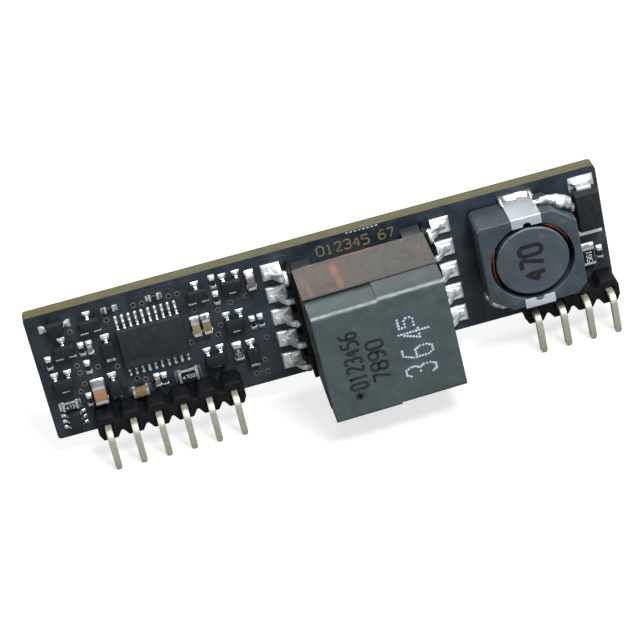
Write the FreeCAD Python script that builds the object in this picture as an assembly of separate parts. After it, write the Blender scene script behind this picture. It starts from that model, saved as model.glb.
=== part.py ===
import FreeCAD, Part
import os
from math import cos, pi, sin

# Single-in-line power module: a circuit board that stands on edge on two right-angle pin headers.
# Origin: middle of the row of pin legs, on the plane where the headers stand on a host board.
# X runs along the board, -Y is the side with the components, +Z is up. Sizes are millimetres.

V = FreeCAD.Vector

# Circuit board
BOARD_HEIGHT = 14.0
BOARD_THICKNESS = 1.5
BOARD_CORNER_RADIUS = 0.3
CONTROL_TO_TRANSFORMER = 0.9

# Pin headers
PIN_PITCH = 2.54
LEFT_PIN_COUNT = 6
RIGHT_PIN_COUNT = 4
FIRST_PIN_INSET = 5.08
LAST_PIN_INSET = 1.12
PIN_SIDE = 0.64
PIN_LEG_DROP = 2.69
PIN_TAIL = 0.9
PIN_TIP_LENGTH = 0.3
PIN_TIP_SIDE = 0.36
PIN_BEND_RADIUS = 0.35
LEG_STANDOFF = 1.27
HEADER_DEPTH = 2.54
HEADER_HEIGHT = 2.54
HEADER_END_INSET = 0.22
CELL_FLAT = 1.45
NOTCH_FLAT = 0.2
NOTCH_DEPTH = 0.7
PIN_RECESS_MARGIN = 0.16
PIN_RECESS_DEPTH = 0.25
PIN_HOLE_RADIUS = 0.52
PIN_JOINT_RADIUS = 0.85
PIN_JOINT_TIP_RADIUS = 0.48
PIN_JOINT_SIDES = 12

# Solder and small leads
SOLDER_THICKNESS = 0.05
PAD_OVERHANG = 0.3
LEAD_KNEE_SHARE = 0.35
LEAD_EXIT_SHARE = 0.5
CHIP_JOINT_SHARE = 0.55

# Chip resistors and capacitors: length, width, height and end cap of each size
CHIP_SMALL = (1.0, 0.5, 0.35, 0.22)
CHIP_SMALL_CAPACITOR = (1.0, 0.5, 0.5, 0.24)
CHIP_MIDDLE = (1.6, 0.8, 0.45, 0.26)
CHIP_MIDDLE_CAPACITOR = (1.6, 0.8, 0.8, 0.3)
CHIP_LARGE = (2.0, 1.25, 0.5, 0.3)
CHIP_LARGE_CAPACITOR = (2.0, 1.25, 1.2, 0.38)
CAP_PROUD = 0.02

# Small transistor package, with three or six leads
TRANSISTOR_LENGTH = 2.0
TRANSISTOR_WIDTH = 1.25
TRANSISTOR_HEIGHT = 0.9
TRANSISTOR_SPAN = 2.1
TRANSISTOR_PITCH = 0.65
TRANSISTOR_LEAD_WIDTH = 0.3
TRANSISTOR_LEAD_THICKNESS = 0.15
TRANSISTOR_PAD_WIDTH = 0.58
TRANSISTOR_PAD_GAP = 0.1
TRANSISTOR_PAD_OVERHANG = 0.21
TRANSISTOR_HEEL_GAP = 0.15
SIX_LEAD_WIDTH = 0.24
SIX_LEAD_PAD_WIDTH = 0.38

# Small diode package
DIODE_LENGTH = 1.7
DIODE_WIDTH = 1.25
DIODE_HEIGHT = 0.9
DIODE_SPAN = 2.5
DIODE_LEAD_WIDTH = 0.32
DIODE_LEAD_THICKNESS = 0.14
DIODE_PAD_WIDTH = 0.72
DIODE_HEEL_GAP = 0.12

# Controller
CONTROLLER_LEADS_PER_SIDE = 10
CONTROLLER_LEAD_PITCH = 0.65
CONTROLLER_WIDTH = 4.4
CONTROLLER_HEIGHT = 1.0
CONTROLLER_SPAN = 6.4
CONTROLLER_LEAD_WIDTH = 0.24
CONTROLLER_LEAD_THICKNESS = 0.13
CONTROLLER_PAD_WIDTH = 0.34
CONTROLLER_PAD_INSET = 0.55
CONTROLLER_HEEL_GAP = 0.4
CONTROLLER_DOT_RADIUS = 0.3
CONTROLLER_DOT_DEPTH = 0.06
CONTROLLER_DOT_INSET = 0.9
BODY_STANDOFF = 0.1
BODY_DRAFT = 0.09

# Transformer
CORE_HALF_LENGTH = 6.45
CORE_HEIGHT = 12.0
CORE_DEPTH = 11.3
CORE_SEAT = 0.7
CORE_END_WALL = 1.9
CORE_FRONT_WALL = 1.8
CORE_CHAMBER_RADIUS = 4.45
CORE_POST_RADIUS = 2.25
CORE_NOTCH_DEPTH = 1.95
CORE_EDGE_RADIUS = 0.55
CORE_HALF_SHIFT = 0.08
WINDING_CLEARANCE = 0.3
TRANSFORMER_TILT = 1.2
TAPE_WIDTH = 6.35
TAPE_THICKNESS = 0.09
TAPE_REAR = 2.5
BOBBIN_WALL = 0.5
BOBBIN_CLEARANCE = 0.1
BOBBIN_FLANGE = 0.5
BOBBIN_STANDOFF = 0.25
RAIL_THICKNESS = 0.42
RAIL_DEPTH = 2.85
RAIL_END_MARGIN = 0.62
FINGER_REACH = 0.5
FINGER_START = 0.7
FINGER_CLEARANCE = 0.05
LEAD_ROWS = 5
LEAD_END_INSET = 0.92
LEAD_SIDE = 0.6
LEAD_HEIGHT = 1.95
LEAD_STRAIGHT = 0.62
LEAD_SLOPE = 0.88
LEAD_FOOT = 0.665
LEAD_FOOT_THICKNESS = 0.42
TOP_WRAP_RADIUS = 0.82
WRAP_RADIUS = 0.56
WRAP_LENGTH = 0.46
WRAP_SIDES = 8
TRANSFORMER_PAD_LENGTH = 1.85
TRANSFORMER_PAD_WIDTH = 1.5
TRANSFORMER_MID_HEIGHT = 6.95

# Inductor
INDUCTOR_SIDE = 9.7
INDUCTOR_RING_DEPTH = 4.0
INDUCTOR_BASE = 0.25
INDUCTOR_RISE = 3.17
INDUCTOR_BORE_RADIUS = 4.12
INDUCTOR_UPPER_CORNER = 0.35
INDUCTOR_LOWER_CORNER = 1.0
INDUCTOR_CHAMFER_ALONG = 2.2
INDUCTOR_CHAMFER_DOWN = 1.7
DRUM_RADIUS = 3.62
DRUM_WAIST_RADIUS = 1.9
DRUM_FLANGE = 0.85
DRUM_BEVEL = 0.12
COIL_RADIUS = 3.3
COIL_CLEARANCE = 0.05
CLIP_WIDTH = 3.0
CLIP_THICKNESS = 0.15
CLIP_LIP = 1.05
CLIP_FOOT = 1.2
CLIP_NOTCH_RADIUS = 0.42
CLIP_BEND_RADIUS = 0.12
CLIP_PAD_OVERHANG = 0.5
LOWER_PAD_OVERHANG = 0.38
WIRE_END_WIDTH = 1.0
WIRE_END_THICKNESS = 0.42
WIRE_END_HEIGHT = 2.5
WIRE_END_REACH = 0.85
TRANSFORMER_TO_INDUCTOR = 1.95

# Output diode
POWER_DIODE_LENGTH = 4.3
POWER_DIODE_WIDTH = 2.6
POWER_DIODE_HEIGHT = 2.1
POWER_DIODE_SPAN = 5.0
POWER_DIODE_LEAD_WIDTH = 1.45
POWER_DIODE_LEAD_THICKNESS = 0.2
POWER_DIODE_PAD_LENGTH = 1.5
POWER_DIODE_PAD_WIDTH = 2.5
POWER_DIODE_PAD_OVERHANG = 0.6
POWER_DIODE_MID_HEIGHT = 10.2
POWER_DIODE_DRAFT = 0.16
INDUCTOR_TO_DIODE = 0.5
DIODE_TO_EDGE = 0.35

# Places on the board: distance from its left end, height above its lower edge
CONTROLLER_PLACE = (11.47, 8.28)
TRANSISTORS_ONE_UP = [(6.0, 11.8), (3.0, 9.75), (16.75, 11.85)]
TRANSISTORS_TWO_UP = [(2.05, 6.1), (20.15, 11.9), (19.62, 7.65), (16.93, 4.35)]
SIX_LEAD_PLACE = (2.15, 1.85)
DIODES_UPRIGHT = [(7.1, 8.55), (6.75, 4.25), (20.57, 3.72)]
DIODES_FLAT = [(2.77, 12.43)]
SMALL_RESISTORS_UPRIGHT = [
    (4.65, 9.2), (4.75, 7.1), (1.25, 8.6), (18.45, 12.62), (18.45, 10.78),
    (21.3, 7.05), (22.1, 7.05), (4.05, 3.5), (11.6, 3.52),
]
SMALL_RESISTORS_FLAT = [(8.25, 12.7), (12.65, 12.7)]
SMALL_CAPACITORS = [(5.45, 9.15), (10.9, 3.6)]
MIDDLE_CAPACITORS_UPRIGHT = [(15.85, 8.35), (16.9, 8.35), (22.05, 11.75)]
MIDDLE_CAPACITORS_FLAT = [(9.05, 3.1)]
LARGE_CAPACITOR_PLACE = (5.18, 4.26)
MARKED_MIDDLE_FLAT = (2.05, 3.5)
MARKED_MIDDLE_UPRIGHT = (19.2, 4.35)
MARKED_LARGE_FLAT = (13.93, 3.35)
# These two stand under the output diode and are measured from the board's right end
MARKED_LARGE_FROM_RIGHT = (2.13, 4.5)
SMALL_RESISTOR_FROM_RIGHT = (0.95, 4.45)

# Sizes that follow from the ones above
CONTROL_FIELD_LENGTH = (MIDDLE_CAPACITORS_UPRIGHT[-1][0] + CHIP_MIDDLE_CAPACITOR[1] / 2
                        + CONTROL_TO_TRANSFORMER)
LEAD_PITCH = (CORE_HEIGHT - 2 * LEAD_END_INSET) / (LEAD_ROWS - 1)
FINGER_WIDTH = LEAD_PITCH - 2 * (TOP_WRAP_RADIUS + FINGER_CLEARANCE)
RAIL_OUTER = CORE_HALF_LENGTH + TAPE_THICKNESS + RAIL_THICKNESS
LEAD_BEND = RAIL_OUTER + LEAD_STRAIGHT
LEAD_TOE = LEAD_BEND + LEAD_SLOPE + LEAD_FOOT
TRANSFORMER_HALF_SPAN = LEAD_TOE + PAD_OVERHANG / 2
TRANSFORMER_MID = CONTROL_FIELD_LENGTH + TRANSFORMER_HALF_SPAN
INDUCTOR_MID = TRANSFORMER_MID + TRANSFORMER_HALF_SPAN + TRANSFORMER_TO_INDUCTOR + INDUCTOR_SIDE / 2
POWER_DIODE_MID = INDUCTOR_MID + INDUCTOR_SIDE / 2 + INDUCTOR_TO_DIODE + POWER_DIODE_WIDTH / 2
BOARD_LENGTH = POWER_DIODE_MID + POWER_DIODE_WIDTH / 2 + DIODE_TO_EDGE
ROW_LENGTH = BOARD_LENGTH - FIRST_PIN_INSET - LAST_PIN_INSET
BOARD_LEFT = -ROW_LENGTH / 2 - FIRST_PIN_INSET
FACE_Y = HEADER_DEPTH + LEG_STANDOFF
PIN_HEIGHT = HEADER_HEIGHT / 2
CONTROLLER_LENGTH = CONTROLLER_LEADS_PER_SIDE * CONTROLLER_LEAD_PITCH
INDUCTOR_MID_HEIGHT = INDUCTOR_RISE + INDUCTOR_SIDE / 2
INDUCTOR_SEAT = SOLDER_THICKNESS + CLIP_THICKNESS
INDUCTOR_BACK = INDUCTOR_SEAT + INDUCTOR_BASE
INDUCTOR_FRONT = INDUCTOR_BACK + INDUCTOR_RING_DEPTH


def slab(x0, x1, z0, z1, out0, out1):
    """Block on the board's face: out0 and out1 are distances out of the face, towards -Y."""
    return Part.makeBox(x1 - x0, out1 - out0, z1 - z0, V(x0, -out1, z0))


def profile(points, width):
    """Outline of (along, out of the face) points, drawn out to a width across."""
    corners = [V(x, -out, -width / 2) for x, out in points]
    face = Part.Face(Part.makePolygon(corners + corners[:1]))
    return face.extrude(V(0, 0, width))


def turned(shape, degrees):
    """The shape turned in the plane of the board's face, anticlockwise as seen from the front."""
    copy = shape.copy()
    copy.rotate(V(0, 0, 0), V(0, -1, 0), degrees)
    return copy


def placed(shape, place, degrees=0):
    copy = turned(shape, degrees)
    copy.translate(V(BOARD_LEFT + place[0], FACE_Y, place[1]))
    return copy


def from_right(place):
    return (BOARD_LENGTH - place[0], place[1])


def mirrored(shape):
    return shape.mirror(V(0, 0, 0), V(1, 0, 0))


def frustum(near, far):
    """Flat-sided solid between two closed outlines that have as many corners."""
    faces = [Part.Face(Part.makePolygon(near)), Part.Face(Part.makePolygon(far))]
    for i in range(len(near) - 1):
        side = [near[i], near[i + 1], far[i + 1], far[i], near[i]]
        faces.append(Part.Face(Part.makePolygon(side)))
    solid = Part.Solid(Part.Shell(faces))
    if solid.Volume < 0:
        solid.reverse()
    return solid


def tapered_body(length, width, height, standoff, draft):
    """Moulded package body: widest at half height, drawn in towards its top and its bottom."""
    half = (height - standoff) / 2
    middle = standoff + half
    solids = []
    for near, far in ((middle, height), (middle, standoff)):
        outlines = []
        for out, inset in ((near, 0), (far, draft)):
            x = length / 2 - inset
            z = width / 2 - inset
            corners = [V(-x, -out, -z), V(x, -out, -z), V(x, -out, z), V(-x, -out, z)]
            outlines.append(corners + corners[:1])
        solids.append(frustum(*outlines))
    return solids[0].fuse(solids[1])


def gull_lead(inner, outer, foot, middle, thickness, width):
    """Lead that leaves a body at half height, steps down and ends in a foot on its pad."""
    seat = SOLDER_THICKNESS
    knee = inner + (outer - inner - foot) * LEAD_KNEE_SHARE
    heel = outer - foot
    half = thickness / 2
    points = [
        (inner, middle - half), (knee, middle - half), (heel, seat), (outer, seat),
        (outer, seat + thickness), (heel + thickness, seat + thickness),
        (knee + thickness, middle + half), (inner, middle + half),
    ]
    return profile(points, width)


def pad(x0, x1, width):
    return slab(x0, x1, -width / 2, width / 2, 0, SOLDER_THICKNESS)


def filleted_pad(length, inner, height, width):
    """Solder under one end of a chip, with the slope that it climbs the chip's end with."""
    end = length / 2
    points = [
        (inner, 0), (end + PAD_OVERHANG, 0), (end + PAD_OVERHANG, SOLDER_THICKNESS),
        (end, height), (end, SOLDER_THICKNESS), (inner, SOLDER_THICKNESS),
    ]
    return profile(points, width)


def chip(size):
    """One two-terminal chip: its body, its two end caps and its two solder joints."""
    length, width, height, cap = size
    seat = SOLDER_THICKNESS
    inside = length / 2 - cap
    half = width / 2
    body = slab(-inside, inside, CAP_PROUD - half, half - CAP_PROUD, seat + CAP_PROUD,
                seat + height - CAP_PROUD)
    end_cap = slab(inside, length / 2, -half, half, seat, seat + height)
    joint = filleted_pad(length, inside, seat + height * CHIP_JOINT_SHARE, width)
    return [body], [end_cap, mirrored(end_cap)], [joint, mirrored(joint)]


def small_diode():
    middle = DIODE_HEIGHT * LEAD_EXIT_SHARE
    body = tapered_body(DIODE_LENGTH, DIODE_WIDTH, DIODE_HEIGHT, BODY_STANDOFF, BODY_DRAFT)
    inner = DIODE_LENGTH / 2 - BODY_DRAFT
    outer = DIODE_SPAN / 2
    foot = outer - DIODE_LENGTH / 2 - DIODE_HEEL_GAP
    lead = gull_lead(inner, outer, foot, middle, DIODE_LEAD_THICKNESS, DIODE_LEAD_WIDTH).cut(body)
    land = pad(DIODE_LENGTH / 2, outer + PAD_OVERHANG, DIODE_PAD_WIDTH)
    return [body], [lead, mirrored(lead)], [land, mirrored(land)]


def transistor(columns_up, columns_down, lead_width, pad_width):
    """Small package with leads above and below, in columns counted in lead pitches."""
    middle = TRANSISTOR_HEIGHT * LEAD_EXIT_SHARE
    body = tapered_body(TRANSISTOR_LENGTH, TRANSISTOR_WIDTH, TRANSISTOR_HEIGHT, BODY_STANDOFF,
                        BODY_DRAFT)
    half_span = TRANSISTOR_SPAN / 2
    half_width = TRANSISTOR_WIDTH / 2
    foot = half_span - half_width - TRANSISTOR_HEEL_GAP
    lead = gull_lead(half_width - BODY_DRAFT, half_span, foot, middle, TRANSISTOR_LEAD_THICKNESS,
                     lead_width)
    land = pad(half_width + TRANSISTOR_PAD_GAP, half_span + TRANSISTOR_PAD_OVERHANG, pad_width)
    leads = []
    lands = []
    for columns, angle in ((columns_up, 90), (columns_down, -90)):
        for column in columns:
            shift = V(column * TRANSISTOR_PITCH, 0, 0)
            leads.append(turned(lead, angle).translated(shift).cut(body))
            lands.append(turned(land, angle).translated(shift))
    return [body], leads, lands


def controller():
    body = tapered_body(CONTROLLER_LENGTH, CONTROLLER_WIDTH, CONTROLLER_HEIGHT, BODY_STANDOFF,
                        BODY_DRAFT)
    corner = V(CONTROLLER_DOT_INSET - CONTROLLER_LENGTH / 2,
               CONTROLLER_DOT_DEPTH - CONTROLLER_HEIGHT,
               CONTROLLER_DOT_INSET - CONTROLLER_WIDTH / 2)
    dot = Part.makeCylinder(CONTROLLER_DOT_RADIUS, CONTROLLER_DOT_DEPTH, corner, V(0, -1, 0))
    half_width = CONTROLLER_WIDTH / 2
    half_span = CONTROLLER_SPAN / 2
    foot = half_span - half_width - CONTROLLER_HEEL_GAP
    lead = gull_lead(half_width - BODY_DRAFT, half_span, foot, CONTROLLER_HEIGHT * LEAD_EXIT_SHARE,
                     CONTROLLER_LEAD_THICKNESS, CONTROLLER_LEAD_WIDTH)
    land = pad(half_span - CONTROLLER_PAD_INSET, half_span + PAD_OVERHANG, CONTROLLER_PAD_WIDTH)
    leads = []
    lands = []
    for angle in (90, -90):
        for column in range(CONTROLLER_LEADS_PER_SIDE):
            along = (column - (CONTROLLER_LEADS_PER_SIDE - 1) / 2) * CONTROLLER_LEAD_PITCH
            leads.append(turned(lead, angle).translated(V(along, 0, 0)).cut(body))
            lands.append(turned(land, angle).translated(V(along, 0, 0)))
    return [body.cut(dot)], leads, lands


def left_pin_positions():
    return [BOARD_LEFT + FIRST_PIN_INSET + i * PIN_PITCH for i in range(LEFT_PIN_COUNT)]


def right_pin_positions():
    last = BOARD_LEFT + BOARD_LENGTH - LAST_PIN_INSET
    return [last - i * PIN_PITCH for i in reversed(range(RIGHT_PIN_COUNT))]


def circuit_board():
    board = Part.makeBox(BOARD_LENGTH, BOARD_THICKNESS, BOARD_HEIGHT, V(BOARD_LEFT, FACE_Y, 0))
    corners = [e for e in board.Edges if abs(e.tangentAt(e.FirstParameter).y) > 0.9]
    board = board.makeFillet(BOARD_CORNER_RADIUS, corners)
    holes = []
    for x in left_pin_positions() + right_pin_positions():
        holes.append(Part.makeCylinder(PIN_HOLE_RADIUS, BOARD_THICKNESS, V(x, FACE_Y, PIN_HEIGHT),
                                       V(0, 1, 0)))
    return [board.cut(holes)]


def header_body(positions):
    """Moulded strip of octagonal cells: one outline along the bottom and back along the top."""
    half_pitch = PIN_PITCH / 2
    bottom = []
    for x in positions:
        left_reach = half_pitch - NOTCH_FLAT / 2
        right_reach = left_reach
        if x == positions[0]:
            left_reach = half_pitch - HEADER_END_INSET
        if x == positions[-1]:
            right_reach = half_pitch - HEADER_END_INSET
        bottom += [(x - left_reach, NOTCH_DEPTH), (x - CELL_FLAT / 2, 0),
                   (x + CELL_FLAT / 2, 0), (x + right_reach, NOTCH_DEPTH)]
    top = [(x, HEADER_HEIGHT - z) for x, z in reversed(bottom)]
    corners = [V(x, LEG_STANDOFF, z) for x, z in bottom + top]
    strip = Part.Face(Part.makePolygon(corners + corners[:1])).extrude(V(0, HEADER_DEPTH, 0))
    cuts = []
    half = PIN_SIDE / 2
    wide = half + PIN_RECESS_MARGIN
    for x in positions:
        cuts.append(Part.makeBox(PIN_SIDE, HEADER_DEPTH, PIN_SIDE,
                                 V(x - half, LEG_STANDOFF, PIN_HEIGHT - half)))
        cuts.append(Part.makeBox(2 * wide, PIN_RECESS_DEPTH, 2 * wide,
                                 V(x - wide, LEG_STANDOFF, PIN_HEIGHT - wide)))
    return [strip.cut(cuts)]


def flats(radius, sides):
    """Corners of a regular polygon, with a flat side square to each axis."""
    return [(radius * cos(pi * (2 * i + 1) / sides), radius * sin(pi * (2 * i + 1) / sides))
            for i in range(sides + 1)]


def pin_tip(x, y, z, direction):
    """Bevelled end of a square pin, from its full section to the small end face."""
    outlines = []
    for distance, side in ((0, PIN_SIDE), (PIN_TIP_LENGTH, PIN_TIP_SIDE)):
        half = side / 2
        corners = [V(-half, -half, distance), V(half, -half, distance),
                   V(half, half, distance), V(-half, half, distance)]
        outlines.append(corners + corners[:1])
    tip = frustum(*outlines)
    tip.Placement = FreeCAD.Placement(V(x, y, z), FreeCAD.Rotation(V(0, 0, 1), direction))
    return tip


def header_pin(x):
    """Square pin: a tail through the board, a straight run and a leg bent down."""
    half = PIN_SIDE / 2
    tail_end = FACE_Y + BOARD_THICKNESS + PIN_TAIL - PIN_TIP_LENGTH
    leg_end = -PIN_LEG_DROP + PIN_TIP_LENGTH
    inner = PIN_BEND_RADIUS
    outer = inner + PIN_SIDE
    run_top = PIN_HEIGHT + half
    run_bottom = PIN_HEIGHT - half
    bend_y = -half + outer
    bend_z = run_top - outer
    knee = cos(pi / 4)

    def at(y, z):
        return V(x - half, y, z)

    outer_arc = Part.Arc(at(bend_y, run_top), at(bend_y - outer * knee, bend_z + outer * knee),
                         at(-half, bend_z))
    inner_arc = Part.Arc(at(half, bend_z), at(bend_y - inner * knee, bend_z + inner * knee),
                         at(bend_y, run_bottom))
    edges = [
        Part.makeLine(at(tail_end, run_top), at(bend_y, run_top)),
        outer_arc.toShape(),
        Part.makeLine(at(-half, bend_z), at(-half, leg_end)),
        Part.makeLine(at(-half, leg_end), at(half, leg_end)),
        Part.makeLine(at(half, leg_end), at(half, bend_z)),
        inner_arc.toShape(),
        Part.makeLine(at(bend_y, run_bottom), at(tail_end, run_bottom)),
        Part.makeLine(at(tail_end, run_bottom), at(tail_end, run_top)),
    ]
    pin = Part.Face(Part.Wire(edges)).extrude(V(PIN_SIDE, 0, 0))
    tips = [pin_tip(x, 0, leg_end, V(0, 0, -1)), pin_tip(x, tail_end, PIN_HEIGHT, V(0, 1, 0))]
    return pin.fuse(tips)


def pin_joint(x):
    """Tapered solder joint around a pin's tail on the back of the board."""
    back = FACE_Y + BOARD_THICKNESS
    height = PIN_TAIL - PIN_TIP_LENGTH
    outlines = []
    for y, radius in ((back, PIN_JOINT_RADIUS), (back + height, PIN_JOINT_TIP_RADIUS)):
        outlines.append([V(x + across, y, PIN_HEIGHT + up)
                         for across, up in flats(radius, PIN_JOINT_SIDES)])
    half = PIN_SIDE / 2
    tail = Part.makeBox(PIN_SIDE, height, PIN_SIDE, V(x - half, back, PIN_HEIGHT - half))
    return frustum(*outlines).cut(tail)


def core_half():
    """Right half of the ferrite core: a cup with a post, open to the board and to its twin."""
    front = CORE_SEAT + CORE_DEPTH
    half_height = CORE_HEIGHT / 2
    chamber_middle = front - CORE_FRONT_WALL - CORE_CHAMBER_RADIUS
    wall_start = CORE_HALF_LENGTH - CORE_END_WALL
    block = slab(0, CORE_HALF_LENGTH, -half_height, half_height, CORE_SEAT, front)
    long_edges = [e for e in block.Edges
                  if abs(e.tangentAt(e.FirstParameter).x) > 0.9 and e.CenterOfMass.y < -front + 0.01]
    block = block.makeFillet(CORE_EDGE_RADIUS, long_edges)
    chamber = Part.makeCylinder(CORE_CHAMBER_RADIUS, wall_start, V(0, -chamber_middle, 0),
                                V(1, 0, 0))
    mouth = slab(0, wall_start, -CORE_CHAMBER_RADIUS, CORE_CHAMBER_RADIUS, CORE_SEAT,
                 chamber_middle)
    notch = slab(0, wall_start, -half_height, half_height, CORE_SEAT, CORE_SEAT + CORE_NOTCH_DEPTH)
    post = Part.makeCylinder(CORE_POST_RADIUS, wall_start, V(0, -chamber_middle, 0), V(1, 0, 0))
    half = block.cut([chamber, mouth, notch]).fuse(post)
    return half.removeSplitter(), chamber_middle


def bobbin(chamber_middle):
    """Coil former with a flange at each end, and a fingered rail outside each core end."""
    inside = CORE_HALF_LENGTH - CORE_END_WALL - BOBBIN_CLEARANCE
    hole = CORE_POST_RADIUS + BOBBIN_CLEARANCE
    flange_radius = CORE_CHAMBER_RADIUS - BOBBIN_CLEARANCE
    axis = V(1, 0, 0)
    start = V(-inside, -chamber_middle, 0)
    tube = Part.makeCylinder(hole + BOBBIN_WALL, 2 * inside, start, axis)
    half_rail = LEAD_PITCH * (LEAD_ROWS - 1) / 2 + LEAD_SIDE / 2 + RAIL_END_MARGIN
    base_top = CORE_SEAT
    sides = []
    for sign in (-1, 1):
        flange_x = inside - BOBBIN_FLANGE if sign > 0 else -inside
        sides.append(Part.makeCylinder(flange_radius, BOBBIN_FLANGE,
                                       V(flange_x, -chamber_middle, 0), axis))
        sides.append(slab(flange_x, flange_x + BOBBIN_FLANGE, -flange_radius, flange_radius,
                          BOBBIN_STANDOFF, chamber_middle))
        side = [slab(inside - BOBBIN_FLANGE, RAIL_OUTER, -flange_radius, flange_radius,
                     BOBBIN_STANDOFF, base_top),
                slab(CORE_HALF_LENGTH + TAPE_THICKNESS, RAIL_OUTER, -half_rail, half_rail,
                     BOBBIN_STANDOFF, RAIL_DEPTH)]
        for finger in range(1, LEAD_ROWS):
            middle = (finger - LEAD_ROWS / 2) * LEAD_PITCH
            side.append(slab(RAIL_OUTER - RAIL_THICKNESS / 2, RAIL_OUTER + FINGER_REACH,
                             middle - FINGER_WIDTH / 2, middle + FINGER_WIDTH / 2,
                             FINGER_START, RAIL_DEPTH))
        sides += side if sign > 0 else [mirrored(piece) for piece in side]
    former = tube.fuse(sides)
    bore = Part.makeCylinder(hole, 2 * inside, start, axis)
    sockets = [slot for row in lead_rows() for slot in lead_sockets(row)]
    return former.cut([bore] + sockets).removeSplitter()


def lead_rows():
    return [(row - (LEAD_ROWS - 1) / 2) * LEAD_PITCH for row in range(LEAD_ROWS)]


def lead_sockets(row):
    """Square holes in both rails for the leads of one row."""
    half = LEAD_SIDE / 2
    socket = slab(CORE_HALF_LENGTH, RAIL_OUTER, row - half, row + half, LEAD_HEIGHT - half,
                  LEAD_HEIGHT + half)
    return [socket, mirrored(socket)]


def transformer_lead():
    """Square lead: straight out of the rail, down at a slope, and a foot on the pad."""
    half = LEAD_SIDE / 2
    seat = SOLDER_THICKNESS
    low = LEAD_HEIGHT - half
    heel = LEAD_BEND + LEAD_SLOPE
    points = [
        (CORE_HALF_LENGTH + TAPE_THICKNESS, low), (LEAD_BEND - half / 2, low),
        (heel - half / 2, seat), (LEAD_TOE, seat), (LEAD_TOE, seat + LEAD_FOOT_THICKNESS),
        (heel + half / 2, seat + LEAD_FOOT_THICKNESS), (LEAD_BEND + half / 2, low + LEAD_SIDE),
        (CORE_HALF_LENGTH + TAPE_THICKNESS, low + LEAD_SIDE),
    ]
    return profile(points, LEAD_SIDE)


def wire_wrap(row, radius):
    """Turns of wire on one square lead, close to the rail, as a collar with flats like the lead's."""
    half = LEAD_SIDE / 2
    corners = [V(RAIL_OUTER, out - LEAD_HEIGHT, row + up) for out, up in flats(radius, WRAP_SIDES)]
    collar = Part.Face(Part.makePolygon(corners)).extrude(V(WRAP_LENGTH, 0, 0))
    hole = slab(RAIL_OUTER, RAIL_OUTER + WRAP_LENGTH, row - half, row + half, LEAD_HEIGHT - half,
                LEAD_HEIGHT + half)
    return collar.cut(hole)


def tape_band():
    """Band of tape around the core's top, ends and bottom, that holds the halves together."""
    length = CORE_HALF_LENGTH
    height = CORE_HEIGHT / 2 + CORE_HALF_SHIFT
    wall = TAPE_THICKNESS
    outside = slab(-length - wall, length + wall, -height - wall, height + wall, TAPE_REAR,
                   TAPE_REAR + TAPE_WIDTH)
    inside = slab(-length, length, -height, height, TAPE_REAR, TAPE_REAR + TAPE_WIDTH)
    return outside.cut(inside)


def transformer():
    """All transformer pieces by node name, turned by the small tilt that it was seated with."""
    half, chamber_middle = core_half()
    inside = CORE_HALF_LENGTH - CORE_END_WALL - BOBBIN_CLEARANCE - BOBBIN_FLANGE
    tube_radius = CORE_POST_RADIUS + BOBBIN_CLEARANCE + BOBBIN_WALL
    winding_radius = CORE_CHAMBER_RADIUS - WINDING_CLEARANCE
    start = V(-inside, -chamber_middle, 0)
    winding = Part.makeCylinder(winding_radius, 2 * inside, start, V(1, 0, 0))
    winding = winding.cut(Part.makeCylinder(tube_radius, 2 * inside, start, V(1, 0, 0)))
    leads = []
    wraps = []
    pads = []
    lead = transformer_lead()
    toe = LEAD_TOE + PAD_OVERHANG / 2
    for row in lead_rows():
        one = lead.translated(V(0, 0, row))
        wrap = wire_wrap(row, TOP_WRAP_RADIUS if row == lead_rows()[-1] else WRAP_RADIUS)
        leads += [one, mirrored(one)]
        wraps += [wrap, mirrored(wrap)]
        land = slab(toe - TRANSFORMER_PAD_LENGTH, toe, row - TRANSFORMER_PAD_WIDTH / 2,
                    row + TRANSFORMER_PAD_WIDTH / 2, 0, SOLDER_THICKNESS)
        pads += [land, mirrored(land)]
    place = (TRANSFORMER_MID, TRANSFORMER_MID_HEIGHT)
    shift = V(0, 0, CORE_HALF_SHIFT)
    pieces = {
        "transformer_core_right": [half.translated(shift)],
        "transformer_core_left": [mirrored(half).translated(-shift)],
        "transformer_bobbin": [bobbin(chamber_middle)],
        "transformer_winding": [winding],
        "transformer_tape": [tape_band()],
        "transformer_leads": leads,
        "transformer_wire_wraps": wraps,
    }
    tilted = {node: [placed(s, place, TRANSFORMER_TILT) for s in solids]
              for node, solids in pieces.items()}
    tilted["transformer_solder"] = [placed(s, place) for s in pads]
    return tilted


def inductor_outline():
    """Points of the ring's outline: two opposite corners cut wide, the upper left nearly square."""
    side = INDUCTOR_SIDE / 2
    upper = INDUCTOR_UPPER_CORNER
    lower = INDUCTOR_LOWER_CORNER
    along = INDUCTOR_CHAMFER_ALONG
    down = INDUCTOR_CHAMFER_DOWN
    return [(-side, side - upper), (-side + upper, side), (side - along, side), (side, side - down),
            (side, -side + lower), (side - lower, -side), (-side + along, -side), (-side, -side + down)]


def inductor_prism(out0, out1):
    corners = [V(x, -out0, z) for x, z in inductor_outline()]
    return Part.Face(Part.makePolygon(corners + corners[:1])).extrude(V(0, out0 - out1, 0))


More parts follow.
